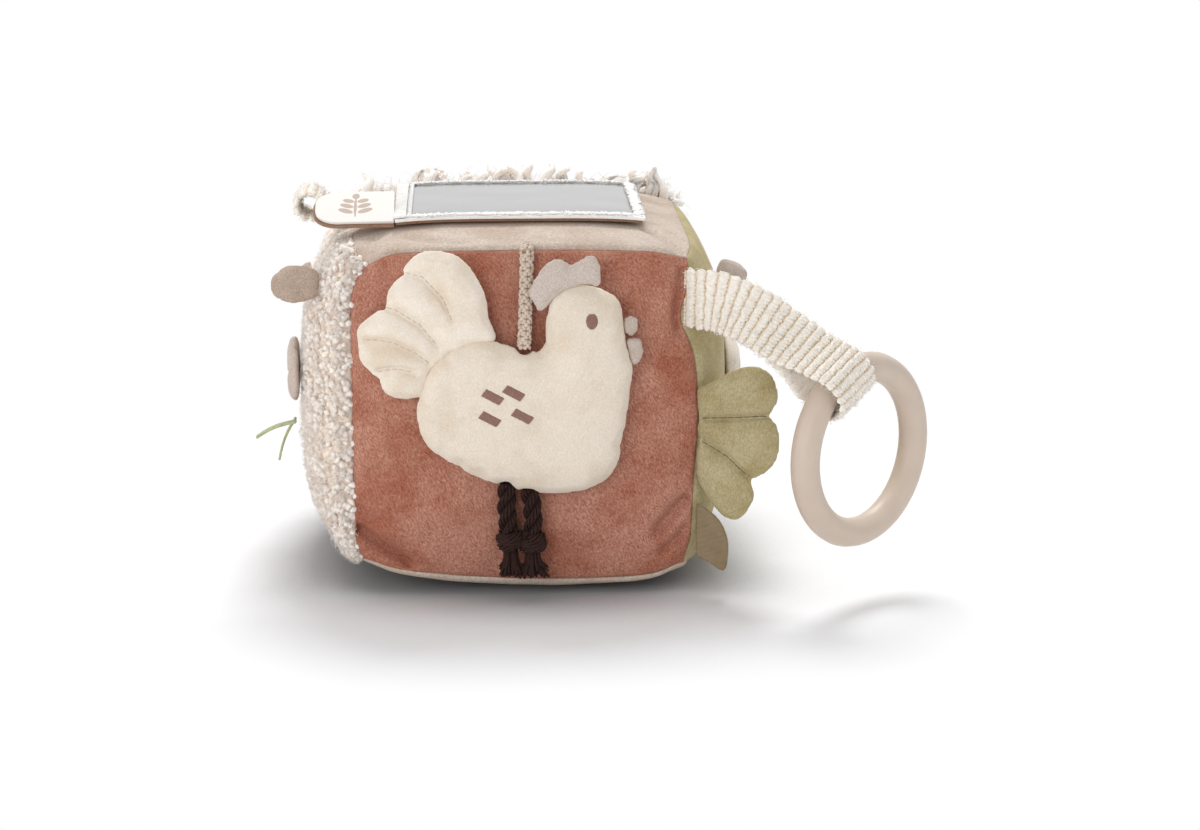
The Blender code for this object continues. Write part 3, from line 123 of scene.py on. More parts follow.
def normals_of(piece):
    """The normal of each point of a mesh."""
    flat = np.empty(len(piece.data.vertices) * 3)
    piece.data.vertices.foreach_get("normal", flat)
    return flat.reshape(-1, 3)


def set_points(piece, points):
    """Moves the points of a mesh to new places."""
    piece.data.vertices.foreach_set("co", np.asarray(points, float).ravel())
    piece.data.update()


def store(piece, name, values):
    """Keeps one number for each point, for a material to read."""
    layer = piece.data.attributes.new(name, "FLOAT", "POINT")
    layer.data.foreach_set("value", np.asarray(values, float).ravel())


def fit(piece, material, body, slot, *nodes):
    """Gives a finished piece its look and its body (none if it is blended), and hides the model nodes
    it stands for.
    """
    piece.data.materials.clear()
    piece.data.materials.append(material)
    piece.data.polygons.foreach_set("use_smooth", [True] * len(piece.data.polygons))
    if body:
        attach(piece, body)
    if nodes:
        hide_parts(*nodes)
    print(f"{piece.name}: {len(piece.data.polygons)} faces, on {body}")
    return piece


# %% [markdown]
# Cords, yarns, curls and stitches are all thin round strands, so one helper builds many
# at once. It carries a frame along each path without twist and closes both ends.

# %% Round strands and smooth lines
def strand_mesh(paths, radii, sides):
    """Points and faces of round strands; paths is strands x steps x 3."""
    paths = np.asarray(paths, float)
    count, steps, _ = paths.shape
    radii = np.broadcast_to(radii, (count, steps))
    ahead = np.gradient(paths, axis=1)
    ahead /= np.linalg.norm(ahead, axis=2, keepdims=True) + 1e-12
    side = np.empty_like(paths)
    current = np.cross(ahead[:, 0], (0.31, 0.52, 0.79))
    for step in range(steps):
        current = current - ahead[:, step] * np.sum(current * ahead[:, step], axis=1, keepdims=True)
        current /= np.linalg.norm(current, axis=1, keepdims=True) + 1e-12
        side[:, step] = current
    up = np.cross(ahead, side)
    turn = np.arange(sides) * math.tau / sides
    ring = (side[:, :, None] * np.cos(turn)[:, None] + up[:, :, None] * np.sin(turn)[:, None])
    points = paths[:, :, None] + ring * radii[:, :, None, None]
    index = np.arange(count * steps * sides).reshape(count, steps, sides)
    near, far = index[:, :-1], index[:, 1:]
    quads = np.stack([near, np.roll(near, -1, 2), np.roll(far, -1, 2), far], -1)
    faces = quads.reshape(-1, 4).tolist()
    faces += index[:, 0, ::-1].tolist() + index[:, -1].tolist()
    return points.reshape(-1, 3), faces


def smooth_line(points, steps):
    """Points on a smooth curve that passes through the given points."""
    points = [Vector(point) for point in points]
    points = [points[0] * 2 - points[1]] + points + [points[-1] * 2 - points[-2]]
    line = []
    for a, b, c, d in zip(points, points[1:], points[2:], points[3:]):
        for step in range(steps):
            t = step / steps
            line.append(0.5 * (2 * b + (c - a) * t + (2 * a - 5 * b + 4 * c - d) * t ** 2
                               + (3 * b - a - 3 * c + d) * t ** 3))
    return line + [points[-2]]


def resample(points, count):
    """The same line with a number of evenly spaced points."""
    points = np.asarray([tuple(point) for point in points], float)
    gaps = np.linalg.norm(np.diff(points, axis=0), axis=1)
    along = np.concatenate([[0], np.cumsum(gaps)])
    wanted = np.linspace(0, along[-1], count)
    return np.stack([np.interp(wanted, along, points[:, k]) for k in range(points.shape[1])], 1)


def line_frames(line, start_side):
    """Ahead, side and up at each point of a line, carried along without twist."""
    ahead = np.gradient(line, axis=0)
    ahead /= np.linalg.norm(ahead, axis=1, keepdims=True)
    side = np.empty_like(line)
    current = np.asarray(start_side, float)
    for step in range(len(line)):
        current = current - ahead[step] * float(current @ ahead[step])
        current /= np.linalg.norm(current)
        side[step] = current
    return ahead, side, np.cross(ahead, side)


# %% [markdown]
# ## The camera
# The camera stands where the photograph's did: its place came from the vanishing lines
# of the cube, a little to the left and 13 degrees above, with a long lens.

# %% Camera
CAMERA_LENS = 90.0
CAMERA_SENSOR = 36.0
CAMERA_DISTANCE = 1.034
CAMERA_TARGET = Vector((0.0266, -0.060, 0.0645))
CAMERA_AZIMUTH = math.radians(-2.6)
CAMERA_ELEVATION = math.radians(13.4)
back = Vector((math.sin(CAMERA_AZIMUTH) * math.cos(CAMERA_ELEVATION),
               -math.cos(CAMERA_AZIMUTH) * math.cos(CAMERA_ELEVATION),
               math.sin(CAMERA_ELEVATION)))
camera_data = bpy.data.cameras.new("camera")
camera_data.lens = CAMERA_LENS
camera_data.sensor_width = CAMERA_SENSOR
camera = bpy.data.objects.new("camera", camera_data)
camera.location = CAMERA_TARGET + back * CAMERA_DISTANCE
camera.rotation_euler = (-back).to_track_quat("-Z", "Y").to_euler()
bpy.context.scene.collection.objects.link(camera)
bpy.context.scene.camera = camera
print("camera at", tuple(round(value, 3) for value in camera.location))

# %% [markdown]
# ## Materials
# A material is a small net of nodes. One helper adds a node with its settings and
# links. Colours are written as the eye and the screen know them, in hex, and turned
# to the linear values that light needs. A number that is the same all over a piece
# is set on the shader itself.

# %% Adding nodes
def linear(colour):
    """A hex colour as linear red, green, blue and full alpha."""
    parts = [int(colour[k:k + 2], 16) / 255 for k in (1, 3, 5)]
    parts = [c / 12.92 if c <= 0.04045 else ((c + 0.055) / 1.055) ** 2.4 for c in parts]
    return (*parts, 1.0)


def add(tree, kind, inputs=None, stops=None, **settings):
    """Adds one node; inputs are numbers, colours or links, stops are a ramp's colours."""
    node = tree.nodes.new(kind)
    for key, value in settings.items():
        setattr(node, key, value)
    for key, value in (inputs or {}).items():
        if isinstance(value, bpy.types.NodeSocket):
            tree.links.new(value, node.inputs[key])
        else:
            node.inputs[key].default_value = value
    if stops:
        ramp = node.color_ramp
        while len(ramp.elements) < len(stops):
            ramp.elements.new(0.5)
        for element, (place, colour) in zip(ramp.elements, stops):
            element.position = place
            element.color = linear(colour) if isinstance(colour, str) else (colour,) * 3 + (1.0,)
    return node


def new_material(name, **shader_values):
    """A material with one shader; returns it, its tree and the shader."""
    material = bpy.data.materials.new(name)
    material.use_nodes = True
    tree = material.node_tree
    tree.nodes.clear()
    shader = add(tree, "ShaderNodeBsdfPrincipled",
                 {key.replace("_", " "): value for key, value in shader_values.items()})
    add(tree, "ShaderNodeOutputMaterial", {"Surface": shader.outputs["BSDF"]})
    return material, tree, shader


# %% [markdown]
# ### Velour
# Velour is a knit with a short, brushed pile. The pile lies in small tufts, so close up
# it is full of light and dark flecks about a millimetre long, and over a hand's width
# it shows soft patches where the nap was stroked another way. Its tips catch a pale
# sheen at grazing angles. Object coordinates keep the flecks the same size everywhere.

# %% Velour
def velour(name, deep, plain, bright, fleck=(0.6, 0.6, 1.2), patch=17.0, relief=0.35,
           patch_colour=None, sheen=0.25, nap=0.0):
    """Brushed pile cloth; fleck and patch in millimetres, nap leans the flecks."""
    material, tree, shader = new_material(
        name, Roughness=0.92, Sheen_Weight=sheen, Sheen_Roughness=0.45,
        Sheen_Tint=linear(bright), Specular_IOR_Level=0.15)
    place = add(tree, "ShaderNodeTexCoord").outputs["Object"]
    bend = add(tree, "ShaderNodeTexNoise", {"Vector": place, "Scale": 1 / (6 * MM), "Detail": 1.0})
    shift = add(tree, "ShaderNodeVectorMath", {0: bend.outputs["Color"], 1: (0.5, 0.5, 0.5)},
                operation="SUBTRACT")
    shift = add(tree, "ShaderNodeVectorMath", {0: shift.outputs["Vector"], "Scale": 1.6 * MM},
                operation="SCALE")
    bent = add(tree, "ShaderNodeVectorMath", {0: place, 1: shift.outputs["Vector"]})
    leaned = add(tree, "ShaderNodeVectorRotate", {"Vector": bent.outputs["Vector"], "Angle": nap},
                 rotation_type="Y_AXIS")
    grid = add(tree, "ShaderNodeMapping", {"Vector": leaned.outputs["Vector"],
                                           "Scale": [1 / (size * MM) for size in fleck]})
    tufts = add(tree, "ShaderNodeTexNoise", {"Vector": grid.outputs["Vector"], "Scale": 1.0,
                                             "Detail": 2.5, "Roughness": 0.62})
    patches = add(tree, "ShaderNodeTexNoise", {"Vector": place, "Scale": 1 / (patch * MM),
                                               "Detail": 3.0, "Roughness": 0.55})
    flecks = add(tree, "ShaderNodeValToRGB", {"Fac": tufts.outputs["Fac"]},
                 stops=[(0.30, deep), (0.50, plain), (0.72, bright)])
    stroked = add(tree, "ShaderNodeValToRGB", {"Fac": patches.outputs["Fac"]},
                  stops=[(0.42, 0.0), (0.66, 1.0)])
    tone = add(tree, "ShaderNodeMix", {0: stroked.outputs["Color"], 6: (1, 1, 1, 1),
                                       7: linear(patch_colour or "#f2ece8")}, data_type="RGBA")
    colour = add(tree, "ShaderNodeMix", {0: 1.0, 6: flecks.outputs["Color"], 7: tone.outputs[2]},
                 data_type="RGBA", blend_type="MULTIPLY")
    bump = add(tree, "ShaderNodeBump", {"Height": tufts.outputs["Fac"], "Strength": relief,
                                        "Distance": 0.5 * MM})
    tree.links.new(colour.outputs[2], shader.inputs["Base Color"])
    tree.links.new(bump.outputs["Normal"], shader.inputs["Normal"])
    return material


def grained(name, stops, grain, relief=0.3, depth=0.4, detail=2.5, along=None, along_stops=None,
            **shader_values):
    """Any finish with one grain; a point attribute may darken or lighten it."""
    material, tree, shader = new_material(name, **shader_values)
    place = add(tree, "ShaderNodeTexCoord").outputs["Object"]
    grid = add(tree, "ShaderNodeMapping", {"Vector": place,
                                           "Scale": [1 / (size * MM) for size in grain]})
    noise_node = add(tree, "ShaderNodeTexNoise", {"Vector": grid.outputs["Vector"], "Scale": 1.0,
                                                  "Detail": detail, "Roughness": 0.6})
    colour = add(tree, "ShaderNodeValToRGB", {"Fac": noise_node.outputs["Fac"]},
                 stops=stops).outputs["Color"]
    if along:
        read = add(tree, "ShaderNodeAttribute", attribute_name=along)
        shade = add(tree, "ShaderNodeValToRGB", {"Fac": read.outputs["Fac"]}, stops=along_stops)
        colour = add(tree, "ShaderNodeMix", {0: 1.0, 6: colour, 7: shade.outputs["Color"]},
                     data_type="RGBA", blend_type="MULTIPLY").outputs[2]
    bump = add(tree, "ShaderNodeBump", {"Height": noise_node.outputs["Fac"], "Strength": relief,
                                        "Distance": depth * MM})
    tree.links.new(colour, shader.inputs["Base Color"])
    tree.links.new(bump.outputs["Normal"], shader.inputs["Normal"])
    return material


def woven(name, dark, light, thread, across="X", up="Z", relief=0.4, **shader_values):
    """A plain weave: two sets of threads that cross, thread spacing in millimetres."""
    material, tree, shader = new_material(name, **shader_values)
    place = add(tree, "ShaderNodeTexCoord").outputs["Object"]
    waves = [add(tree, "ShaderNodeTexWave", {"Vector": place, "Scale": 1 / (thread * MM * 3.183),
                                             "Distortion": 0.6, "Detail": 1.0},
                 bands_direction=direction).outputs["Fac"] for direction in (across, up)]
    cloth = add(tree, "ShaderNodeMath", {0: waves[0], 1: waves[1]}, operation="MAXIMUM")
    cloud = add(tree, "ShaderNodeTexNoise", {"Vector": place, "Scale": 1 / (3 * MM), "Detail": 4.0})
    mixed = add(tree, "ShaderNodeMath", {0: cloth.outputs[0], 1: cloud.outputs["Fac"]},
                operation="MULTIPLY")
    colour = add(tree, "ShaderNodeValToRGB", {"Fac": mixed.outputs[0]},
                 stops=[(0.12, dark), (0.5, light)])
    bump = add(tree, "ShaderNodeBump", {"Height": cloth.outputs[0], "Strength": relief,
                                        "Distance": 0.12 * MM})
    tree.links.new(colour.outputs["Color"], shader.inputs["Base Color"])
    tree.links.new(bump.outputs["Normal"], shader.inputs["Normal"])
    return material


# %% [markdown]
# The palette of the block: terracotta, taupe, sage and cream velours, two woolly piles,
# corduroy, cords and yarns, a silicone and a soft mirror sheet. Each is named for the
# real stuff, and each pattern is scaled from its thread, tuft or grain.

# %% The palette
# Terracotta velour: strong light and dark flecks give the front its lively, warm red.
TERRACOTTA = velour("terracotta_velour", "#95594a", "#b17d6a", "#cd9a85",
                    fleck=(0.45, 0.45, 1.1), patch=18.0, relief=0.5, patch_colour="#e4ccc1",
                    nap=math.radians(32))
# Taupe velour: paler and closer, so its flecks are soft and greyish.
TAUPE = velour("taupe_velour", "#b3a496", "#c7b8ab", "#dbcfc5",
               fleck=(0.9, 0.5, 0.6), patch=22.0, relief=0.4, patch_colour="#e6dcd4")
# Sage velour: a yellow green with a pale bloom on its tips.
SAGE = velour("sage_velour", "#a2966f", "#b6aa86", "#c9bd9d",
              fleck=(0.45, 0.45, 0.9), patch=14.0, relief=0.35, patch_colour="#e9e4d2")
# Beige cotton velour on the underside: nearly plain, seen as a pale strip.
BEIGE = velour("beige_velour", "#c0ae9c", "#d6c7b7", "#e6dacd", patch=20.0, relief=0.3)
# Cream velour of the hen: very short and even, with only a hint of nap.
CREAM = velour("cream_velour", "#dbcebd", "#e3d7c8", "#ebe1d4",
               fleck=(0.5, 0.5, 0.8), patch=14.0, relief=0.25, patch_colour="#f6f2ec")
# The same velour, a little paler, for the tail feathers: the paler tone is painted light, matching the
# brighter light on the hen's upper left.
TAIL_CREAM = velour("tail_velour", "#e1d5c5", "#e9ded0", "#f0e7db",
                    fleck=(0.5, 0.5, 0.8), patch=13.0, relief=0.25, patch_colour="#f4eee6")
# Grey-taupe velour of comb, ears and muzzle: cool and fuzzy.
TRIM = velour("trim_velour", "#b3a59a", "#c5b7ad", "#d6cac2",
              fleck=(0.4, 0.4, 0.7), patch=11.0, relief=0.3)
# Brown velour of the ears' backs and the small marks.
EAR = velour("ear_velour", "#a08d7f", "#b4a192", "#c8b8aa",
             fleck=(0.4, 0.4, 0.8), patch=10.0, relief=0.3)
# Sherpa: matted woolly curls, white at the tips, with painted shade: a warmer, darker tone at their
# roots and on the ground between them.
SHERPA = grained("sherpa_wool", [(0.3, "#fae9da"), (0.6, "#fff3e7")], (0.7, 0.7, 0.7),
                 relief=0.4, depth=0.3, along="tip", along_stops=[(0.0, "#f6e9dd"), (0.4, "#ffffff")],
                 Roughness=0.95, Sheen_Weight=0.45, Sheen_Roughness=0.6, Specular_IOR_Level=0.05,
                 Subsurface_Weight=0.5, Subsurface_Radius=(0.003, 0.0026, 0.0022),
                 Subsurface_Scale=1.0)
# Curly pile: longer, silkier locks, cream at the tips, with painted shade: a darker pinkish tone at
# their roots and on the ground between them.
CURLY = grained("curly_wool", [(0.3, "#f3e9e0"), (0.6, "#fcf7f1")], (0.9, 0.9, 0.9),
                relief=0.5, depth=0.5, along="tip",
                along_stops=[(0.0, "#ecdccf"), (0.4, "#ffffff"), (1.0, "#fff8f2")],
                Roughness=0.9, Sheen_Weight=0.45, Sheen_Roughness=0.5, Specular_IOR_Level=0.1,
                Subsurface_Weight=0.6, Subsurface_Radius=(0.005, 0.0045, 0.004),
                Subsurface_Scale=1.0)
# Wide wale corduroy: cream chenille ribs, darkened to tan in the grooves and in the dips between knobs
# as painted shade.
CORDUROY = grained("corduroy", [(0.3, "#efe4d5"), (0.62, "#fffaf2")], (0.45, 0.45, 0.45),
                   relief=0.8, depth=0.45, along="rib",
                   along_stops=[(0.0, "#c09c74"), (0.3, "#e6d5bc"), (0.6, "#ffffff")],
                   Roughness=0.95, Sheen_Weight=0.3, Sheen_Roughness=0.5, Specular_IOR_Level=0.1)
# Suede cloth: a matt brown microfibre under the mirror and the tab; a strip of it left of the mirror is
# a dark sheet standing for painted shade.
SUEDE = grained("brown_suede", [(0.3, "#7d5a45"), (0.6, "#a07d64")], (0.5, 0.5, 0.5), relief=0.4,
                Roughness=0.95, Sheen_Weight=0.3, Specular_IOR_Level=0.1)
# Soft mirror sheet: aluminised film, slightly uneven, so that reflections stay vague.
MIRROR = grained("mirror_sheet", [(0.3, "#a8a8a8"), (0.7, "#ababab")], (14, 14, 14), relief=0.05,
                 depth=0.3, Metallic=1.0, Roughness=0.2)
# White cotton twill for the tape, and a white tufty overlock thread round the mirror.
TWILL = woven("white_twill", "#cfccc8", "#f6f5f3", 0.9, "Y", "Y", Roughness=0.85,
              Sheen_Weight=0.1)
WHITE_THREAD = grained("white_thread", [(0.3, "#e9e6e1"), (0.6, "#fbfaf8")], (0.3, 0.3, 0.3),
                       Roughness=0.8, Sheen_Weight=0.2)
# Brown embroidery thread: a fine rayon with a low shine across the satin stitch.
BROWN_THREAD = grained("brown_thread", [(0.3, "#78544a"), (0.65, "#9b7466")], (0.3, 0.3, 1.2),
                       relief=0.3, depth=0.1, Roughness=0.5, Sheen_Weight=0.2)
SEWING_THREAD = grained("sewing_thread", [(0.3, "#b8a993"), (0.6, "#cdbfab")], (0.3, 0.3, 0.3),
                        Roughness=0.8)
# Taupe braid of the hanging cord; each yarn is darker where it dives under the others, as painted
# shade.
BRAID = grained("taupe_braid", [(0.3, "#bba896"), (0.62, "#dccdbe")], (0.3, 0.3, 0.6),
                relief=0.4, depth=0.12, along="over", Roughness=0.85,
                along_stops=[(0.1, "#8d7565"), (0.5, "#d6c7b9"), (0.8, "#ffffff")],
                Sheen_Weight=0.2, Specular_IOR_Level=0.2)
# Dark cotton cord of the legs: near black, warm brown where the light catches a yarn.
DARK_COTTON = grained("dark_cotton", [(0.3, "#150b09"), (0.65, "#38221e")], (0.3, 0.3, 1.0),
                      relief=0.4, depth=0.12, Roughness=0.8, Sheen_Weight=0.15,
                      Sheen_Tint=linear("#7d5a50"), Specular_IOR_Level=0.2)
# Moulded silicone: smooth, matt and a little translucent.
SILICONE = grained("silicone", [(0.3, "#c9b8a9"), (0.7, "#cdbdae")], (9, 9, 9), relief=0.02,
                   Roughness=0.42, IOR=1.41, Subsurface_Weight=0.15,
                   Subsurface_Radius=(0.004, 0.003, 0.002), Subsurface_Scale=1.0)
# Satin ribbon for the grass, woven satin tape for the label.
GRASS = woven("grass_ribbon", "#8f9563", "#b3b688", 0.4, "X", "Y", Roughness=0.5,
              Sheen_Weight=0.2)
LABEL = woven("satin_tape", "#75613f", "#90795a", 0.45, "Z", "Z", relief=0.5, Roughness=0.40,
              Sheen_Weight=0.15)
# Printed tab: white coated cloth; the print's colour comes with its motif below.
# Inner parts: carded polyester, moulded rattle shells and a glossy bead.
FIBRE = grained("carded_polyester", [(0.3, "#e3e0da"), (0.6, "#f4f2ee")], (2, 2, 2), relief=0.8,
                depth=1.0, Roughness=1.0)
MOULDED = grained("moulded_shell", [(0.3, "#e4e0d8"), (0.7, "#e8e4dc")], (0.4, 0.4, 0.4),
                  relief=0.1, Roughness=0.5)
BEAD = grained("glossy_bead", [(0.3, "#989898"), (0.7, "#9d9d9d")], (3, 3, 3), relief=0.02,
               Roughness=0.2)

# %% [markdown]
# ## Floor and light
# A white sweep carries the soft shadow, and close under the block its colour is painted a cool grey, a
# painted contact shadow read from an occlusion node.
# Far from the block it is the plain white of the background for the camera alone, so
# that no lamp has to burn it out.

# %% Floor, world and lamps
FLOOR_REACH = 3.0
PAINTED_SHADOW_REACH = 0.05
SWEEP_HALF = (0.29, 0.27)
FADE_START = 0.38
SKY_LEVEL = 0.56
LAMP_AIM = Vector((0, 0, 0.06))
bpy.ops.object.select_all(action="DESELECT")
bpy.ops.mesh.primitive_plane_add(size=2 * FLOOR_REACH)
floor = bpy.context.object
floor.name = "floor"
floor_material, floor_tree, floor_shader = new_material("white_sweep", Roughness=0.9,
                                                        Specular_IOR_Level=0.0)
# Painted contact shadow: occlusion near the block greys the floor's own colour.
painted_contact_shadow = add(floor_tree, "ShaderNodeAmbientOcclusion", {"Distance": PAINTED_SHADOW_REACH}, samples=6)
painted_contact_shadow = add(floor_tree, "ShaderNodeValToRGB", {"Fac": painted_contact_shadow.outputs["AO"]},
              [(0.3, "#98999c"), (0.85, "#f6f7f9")])
floor_tree.links.new(painted_contact_shadow.outputs["Color"], floor_shader.inputs["Base Color"])
ray = add(floor_tree, "ShaderNodeLightPath")
spot = add(floor_tree, "ShaderNodeTexCoord").outputs["Object"]
spot = add(floor_tree, "ShaderNodeMapping",
           {"Vector": spot, "Scale": (1 / SWEEP_HALF[0], 1 / SWEEP_HALF[1], 1.0)})
reach = add(floor_tree, "ShaderNodeVectorMath", {0: spot.outputs["Vector"]}, operation="LENGTH")
fade = add(floor_tree, "ShaderNodeMapRange",
           {"Value": reach.outputs["Value"], "From Min": FADE_START, "From Max": 1.0},
           interpolation_type="SMOOTHSTEP")
plain = add(floor_tree, "ShaderNodeMath",
            {0: fade.outputs["Result"], 1: ray.outputs["Is Camera Ray"]}, operation="MULTIPLY")
glow = add(floor_tree, "ShaderNodeEmission", {"Color": (1, 1, 1, 1), "Strength": 1.0})
both = add(floor_tree, "ShaderNodeMixShader",
           {0: plain.outputs[0], 1: floor_shader.outputs["BSDF"], 2: glow.outputs["Emission"]})
floor_out = [node for node in floor_tree.nodes if node.type == "OUTPUT_MATERIAL"][0]
floor_tree.links.new(both.outputs["Shader"], floor_out.inputs["Surface"])
floor.data.materials.append(floor_material)

world = bpy.data.worlds.new("studio")
world.use_nodes = True
world_tree = world.node_tree
world_tree.nodes.clear()
ray = add(world_tree, "ShaderNodeLightPath")
seen = add(world_tree, "ShaderNodeMath", {0: ray.outputs["Is Camera Ray"],
                                          1: ray.outputs["Is Glossy Ray"]}, operation="MAXIMUM")
seen = add(world_tree, "ShaderNodeMath", {0: seen.outputs[0], 1: ray.outputs["Is Transmission Ray"]},
           operation="MAXIMUM")
soft_sky = add(world_tree, "ShaderNodeBackground", {"Color": (1, 1, 1, 1), "Strength": SKY_LEVEL})
white_sky = add(world_tree, "ShaderNodeBackground", {"Color": (1, 1, 1, 1), "Strength": 1.0})
both = add(world_tree, "ShaderNodeMixShader", {0: seen.outputs[0], 1: soft_sky.outputs[0],
                                               2: white_sky.outputs[0]})
add(world_tree, "ShaderNodeOutputWorld", {"Surface": both.outputs["Shader"]})
bpy.context.scene.world = world
bpy.context.scene.view_settings.view_transform = "Standard"

LAMPS = [("key", (-0.50, -1.10, 0.42), 0.7, 4.3), ("top", (0.05, 0.54, 1.04), 0.5, 8.6),
         ("side", (0.9, -0.5, 0.45), 0.6, 0.9), ("left", (-0.95, -0.25, 0.36), 0.6, 1.3)]
for name, place, size, power in LAMPS:
    lamp_data = bpy.data.lights.new(name, "AREA")
    lamp_data.shape = "DISK"
    lamp_data.size = size
    lamp_data.energy = power
    lamp = bpy.data.objects.new(name, lamp_data)
    lamp.location = place
    lamp.rotation_euler = (LAMP_AIM - Vector(place)).to_track_quat("-Z", "Y").to_euler()
    bpy.context.scene.collection.objects.link(lamp)
print("lamps:", [name for name, *_ in LAMPS])

# %% [markdown]
# ## The hanging cord
# The hen hangs on a short braided cord, sewn into the top seam and into the hen's back.
# A braid is two sets of yarns that wind both ways and pass over and under each other,
# so it is built as that: seven yarns each way, with their radius rising and falling.

# %% Hen cord
CORD_DIAMETER = 5.2 * MM
CORD_TOP = Vector((0.0017, -0.06326, 0.1223))
CORD_FOOT = Vector((0.0004, -0.0697, 0.09032))
CORD_SLACK = Vector((0, -0.0012, 0))
CORD_SEAM = (0.0017, -0.0590, 0.1236)
CORD_YARNS = 7
CORD_YARN_RADIUS = 0.66 * MM
CORD_LAY = 14 * MM
CORD_WAVER = 0.34 * MM
CORD_POINT = 2.4 * MM
CORD_STEPS = 150
cord_line = resample(smooth_line([CORD_TOP, (CORD_TOP + CORD_FOOT) / 2 + CORD_SLACK, CORD_FOOT], 12),
                     25)


def braid(name, line, diameter, yarns, lay, yarn_radius, waver, steps):
    """A round braid along a line: yarns each way, one turn for each lay."""
    line = resample(line, steps)
    ahead, side, up = line_frames(line, (1, 0, 0))
    length = float(np.sum(np.linalg.norm(np.diff(line, axis=0), axis=1)))
    along = np.linspace(0, length, steps)
    paths, heights = [], []
    for way in (1, -1):
        for yarn in range(yarns):
            angle = way * along * math.tau / lay + yarn * math.tau / yarns
            over = np.cos(yarns * (along * math.tau / lay) + (way < 0) * math.pi + yarn * math.pi)
            radius = diameter / 2 - yarn_radius + waver * over - waver
            radius = radius * np.sqrt(np.clip(along / CORD_POINT, 0.05, 1))
            heights.append(0.5 + 0.5 * over)
            paths.append(line + side * (radius * np.cos(angle))[:, None]
                         + up * (radius * np.sin(angle))[:, None])
    points, faces = strand_mesh(paths, yarn_radius, 6)
    core_points, core_faces = strand_mesh(line[None], diameter / 2 - 1.5 * yarn_radius, 16)
    faces += [[index + len(points) for index in face] for face in core_faces]
    piece = mesh_piece(name, np.concatenate([points, core_points]), faces)
    # How high each yarn stands; the braid's material darkens the low, under-passing parts as painted
    # shade.
    over = np.repeat(np.concatenate(heights), 6)
    store(piece, "over", np.concatenate([over, np.zeros(len(core_points))]))
    return piece


sewn_line = np.concatenate([[CORD_SEAM], cord_line])
braided_cord = braid("braided_hanging_cord", sewn_line, CORD_DIAMETER, CORD_YARNS, CORD_LAY,
                     CORD_YARN_RADIUS, CORD_WAVER, CORD_STEPS)
fit(braided_cord, BRAID, "hen_cord", "braided_cord", "hen_cord")

# %% [markdown]
# ## The six panels
# The cover is six squares of cloth sewn edge to edge and stuffed, so each one crowns in
# its middle, rolls over at its rim and dives into the seam as a thin dark groove. The
# stuffed cube isn't true either: its corners draw in and its lower front seam sags.
# Each panel starts as a grid; its points are laid by the same few sums, which is why
# neighbouring panels meet exactly at their seams. Folds are drawn in as lines. The right
# front seam is also pulled in where the strap is sewn into it.

# %% The shape of the stuffed cube
HALF = np.array([60.0, 60.0, 58.5]) * MM
MIDDLE = np.array([0.0, 0.0, 65.0]) * MM
SEAM_ROUND = 3.4 * MM
SEAM_INSET = 1.4 * MM
CLOTH = 1.2 * MM
PANEL_ROWS = 115
LUMP_SIZE = 26 * MM
PUCKER_SIZE, PUCKER_REACH, PUCKER_RISE = 9 * MM, 7 * MM, 0.55 * MM
CLUMP_SIZE = 6 * MM
ACROSS = {"front": (1, 0, 0), "back": (-1, 0, 0), "left": (0, -1, 0), "right": (0, 1, 0),
          "top": (1, 0, 0), "bottom": (-1, 0, 0)}
UPWARD = {"front": (0, 0, 1), "back": (0, 0, 1), "left": (0, 0, 1), "right": (0, 0, 1),
          "top": (0, 1, 0), "bottom": (0, 1, 0)}
CORNER_PULLS = {(-1, -1, 1): 8.5, (1, -1, 1): 4.0, (-1, -1, -1): 4.0, (1, -1, -1): 4.5}
CORNER_PULL = 4.0
CORNER_REACH = 10.5 * MM
LOW_SLUMP = (-2.0, -2.1, 4.1)
TOP_SLUMP = 1.4 * MM
SLUMP_DEPTH = 80 * MM
SLUMP_HEIGHT = 38.5 * MM
STRAP_PULL, STRAP_PULL_HEIGHT = 4.6, 99 * MM
SEAM_BULGE, SEAM_BULGE_HEIGHT, SEAM_BULGE_REACH = 2.2, 64 * MM, 20 * MM
SEAM_REACH = 9 * MM
TOP_CROWN = 5 * MM


def eased(values):
    """Nought to one, with a smooth start and end."""
    values = np.clip(values, 0, 1)
    return values * values * (3 - 2 * values)


def noise_at(points, size, shift=0.0):
    """Smooth noise between about -1 and 1 at each point, of one size."""
    places = (np.asarray(points) / size + shift).tolist()
    return np.array([noise.noise(place) for place in places])


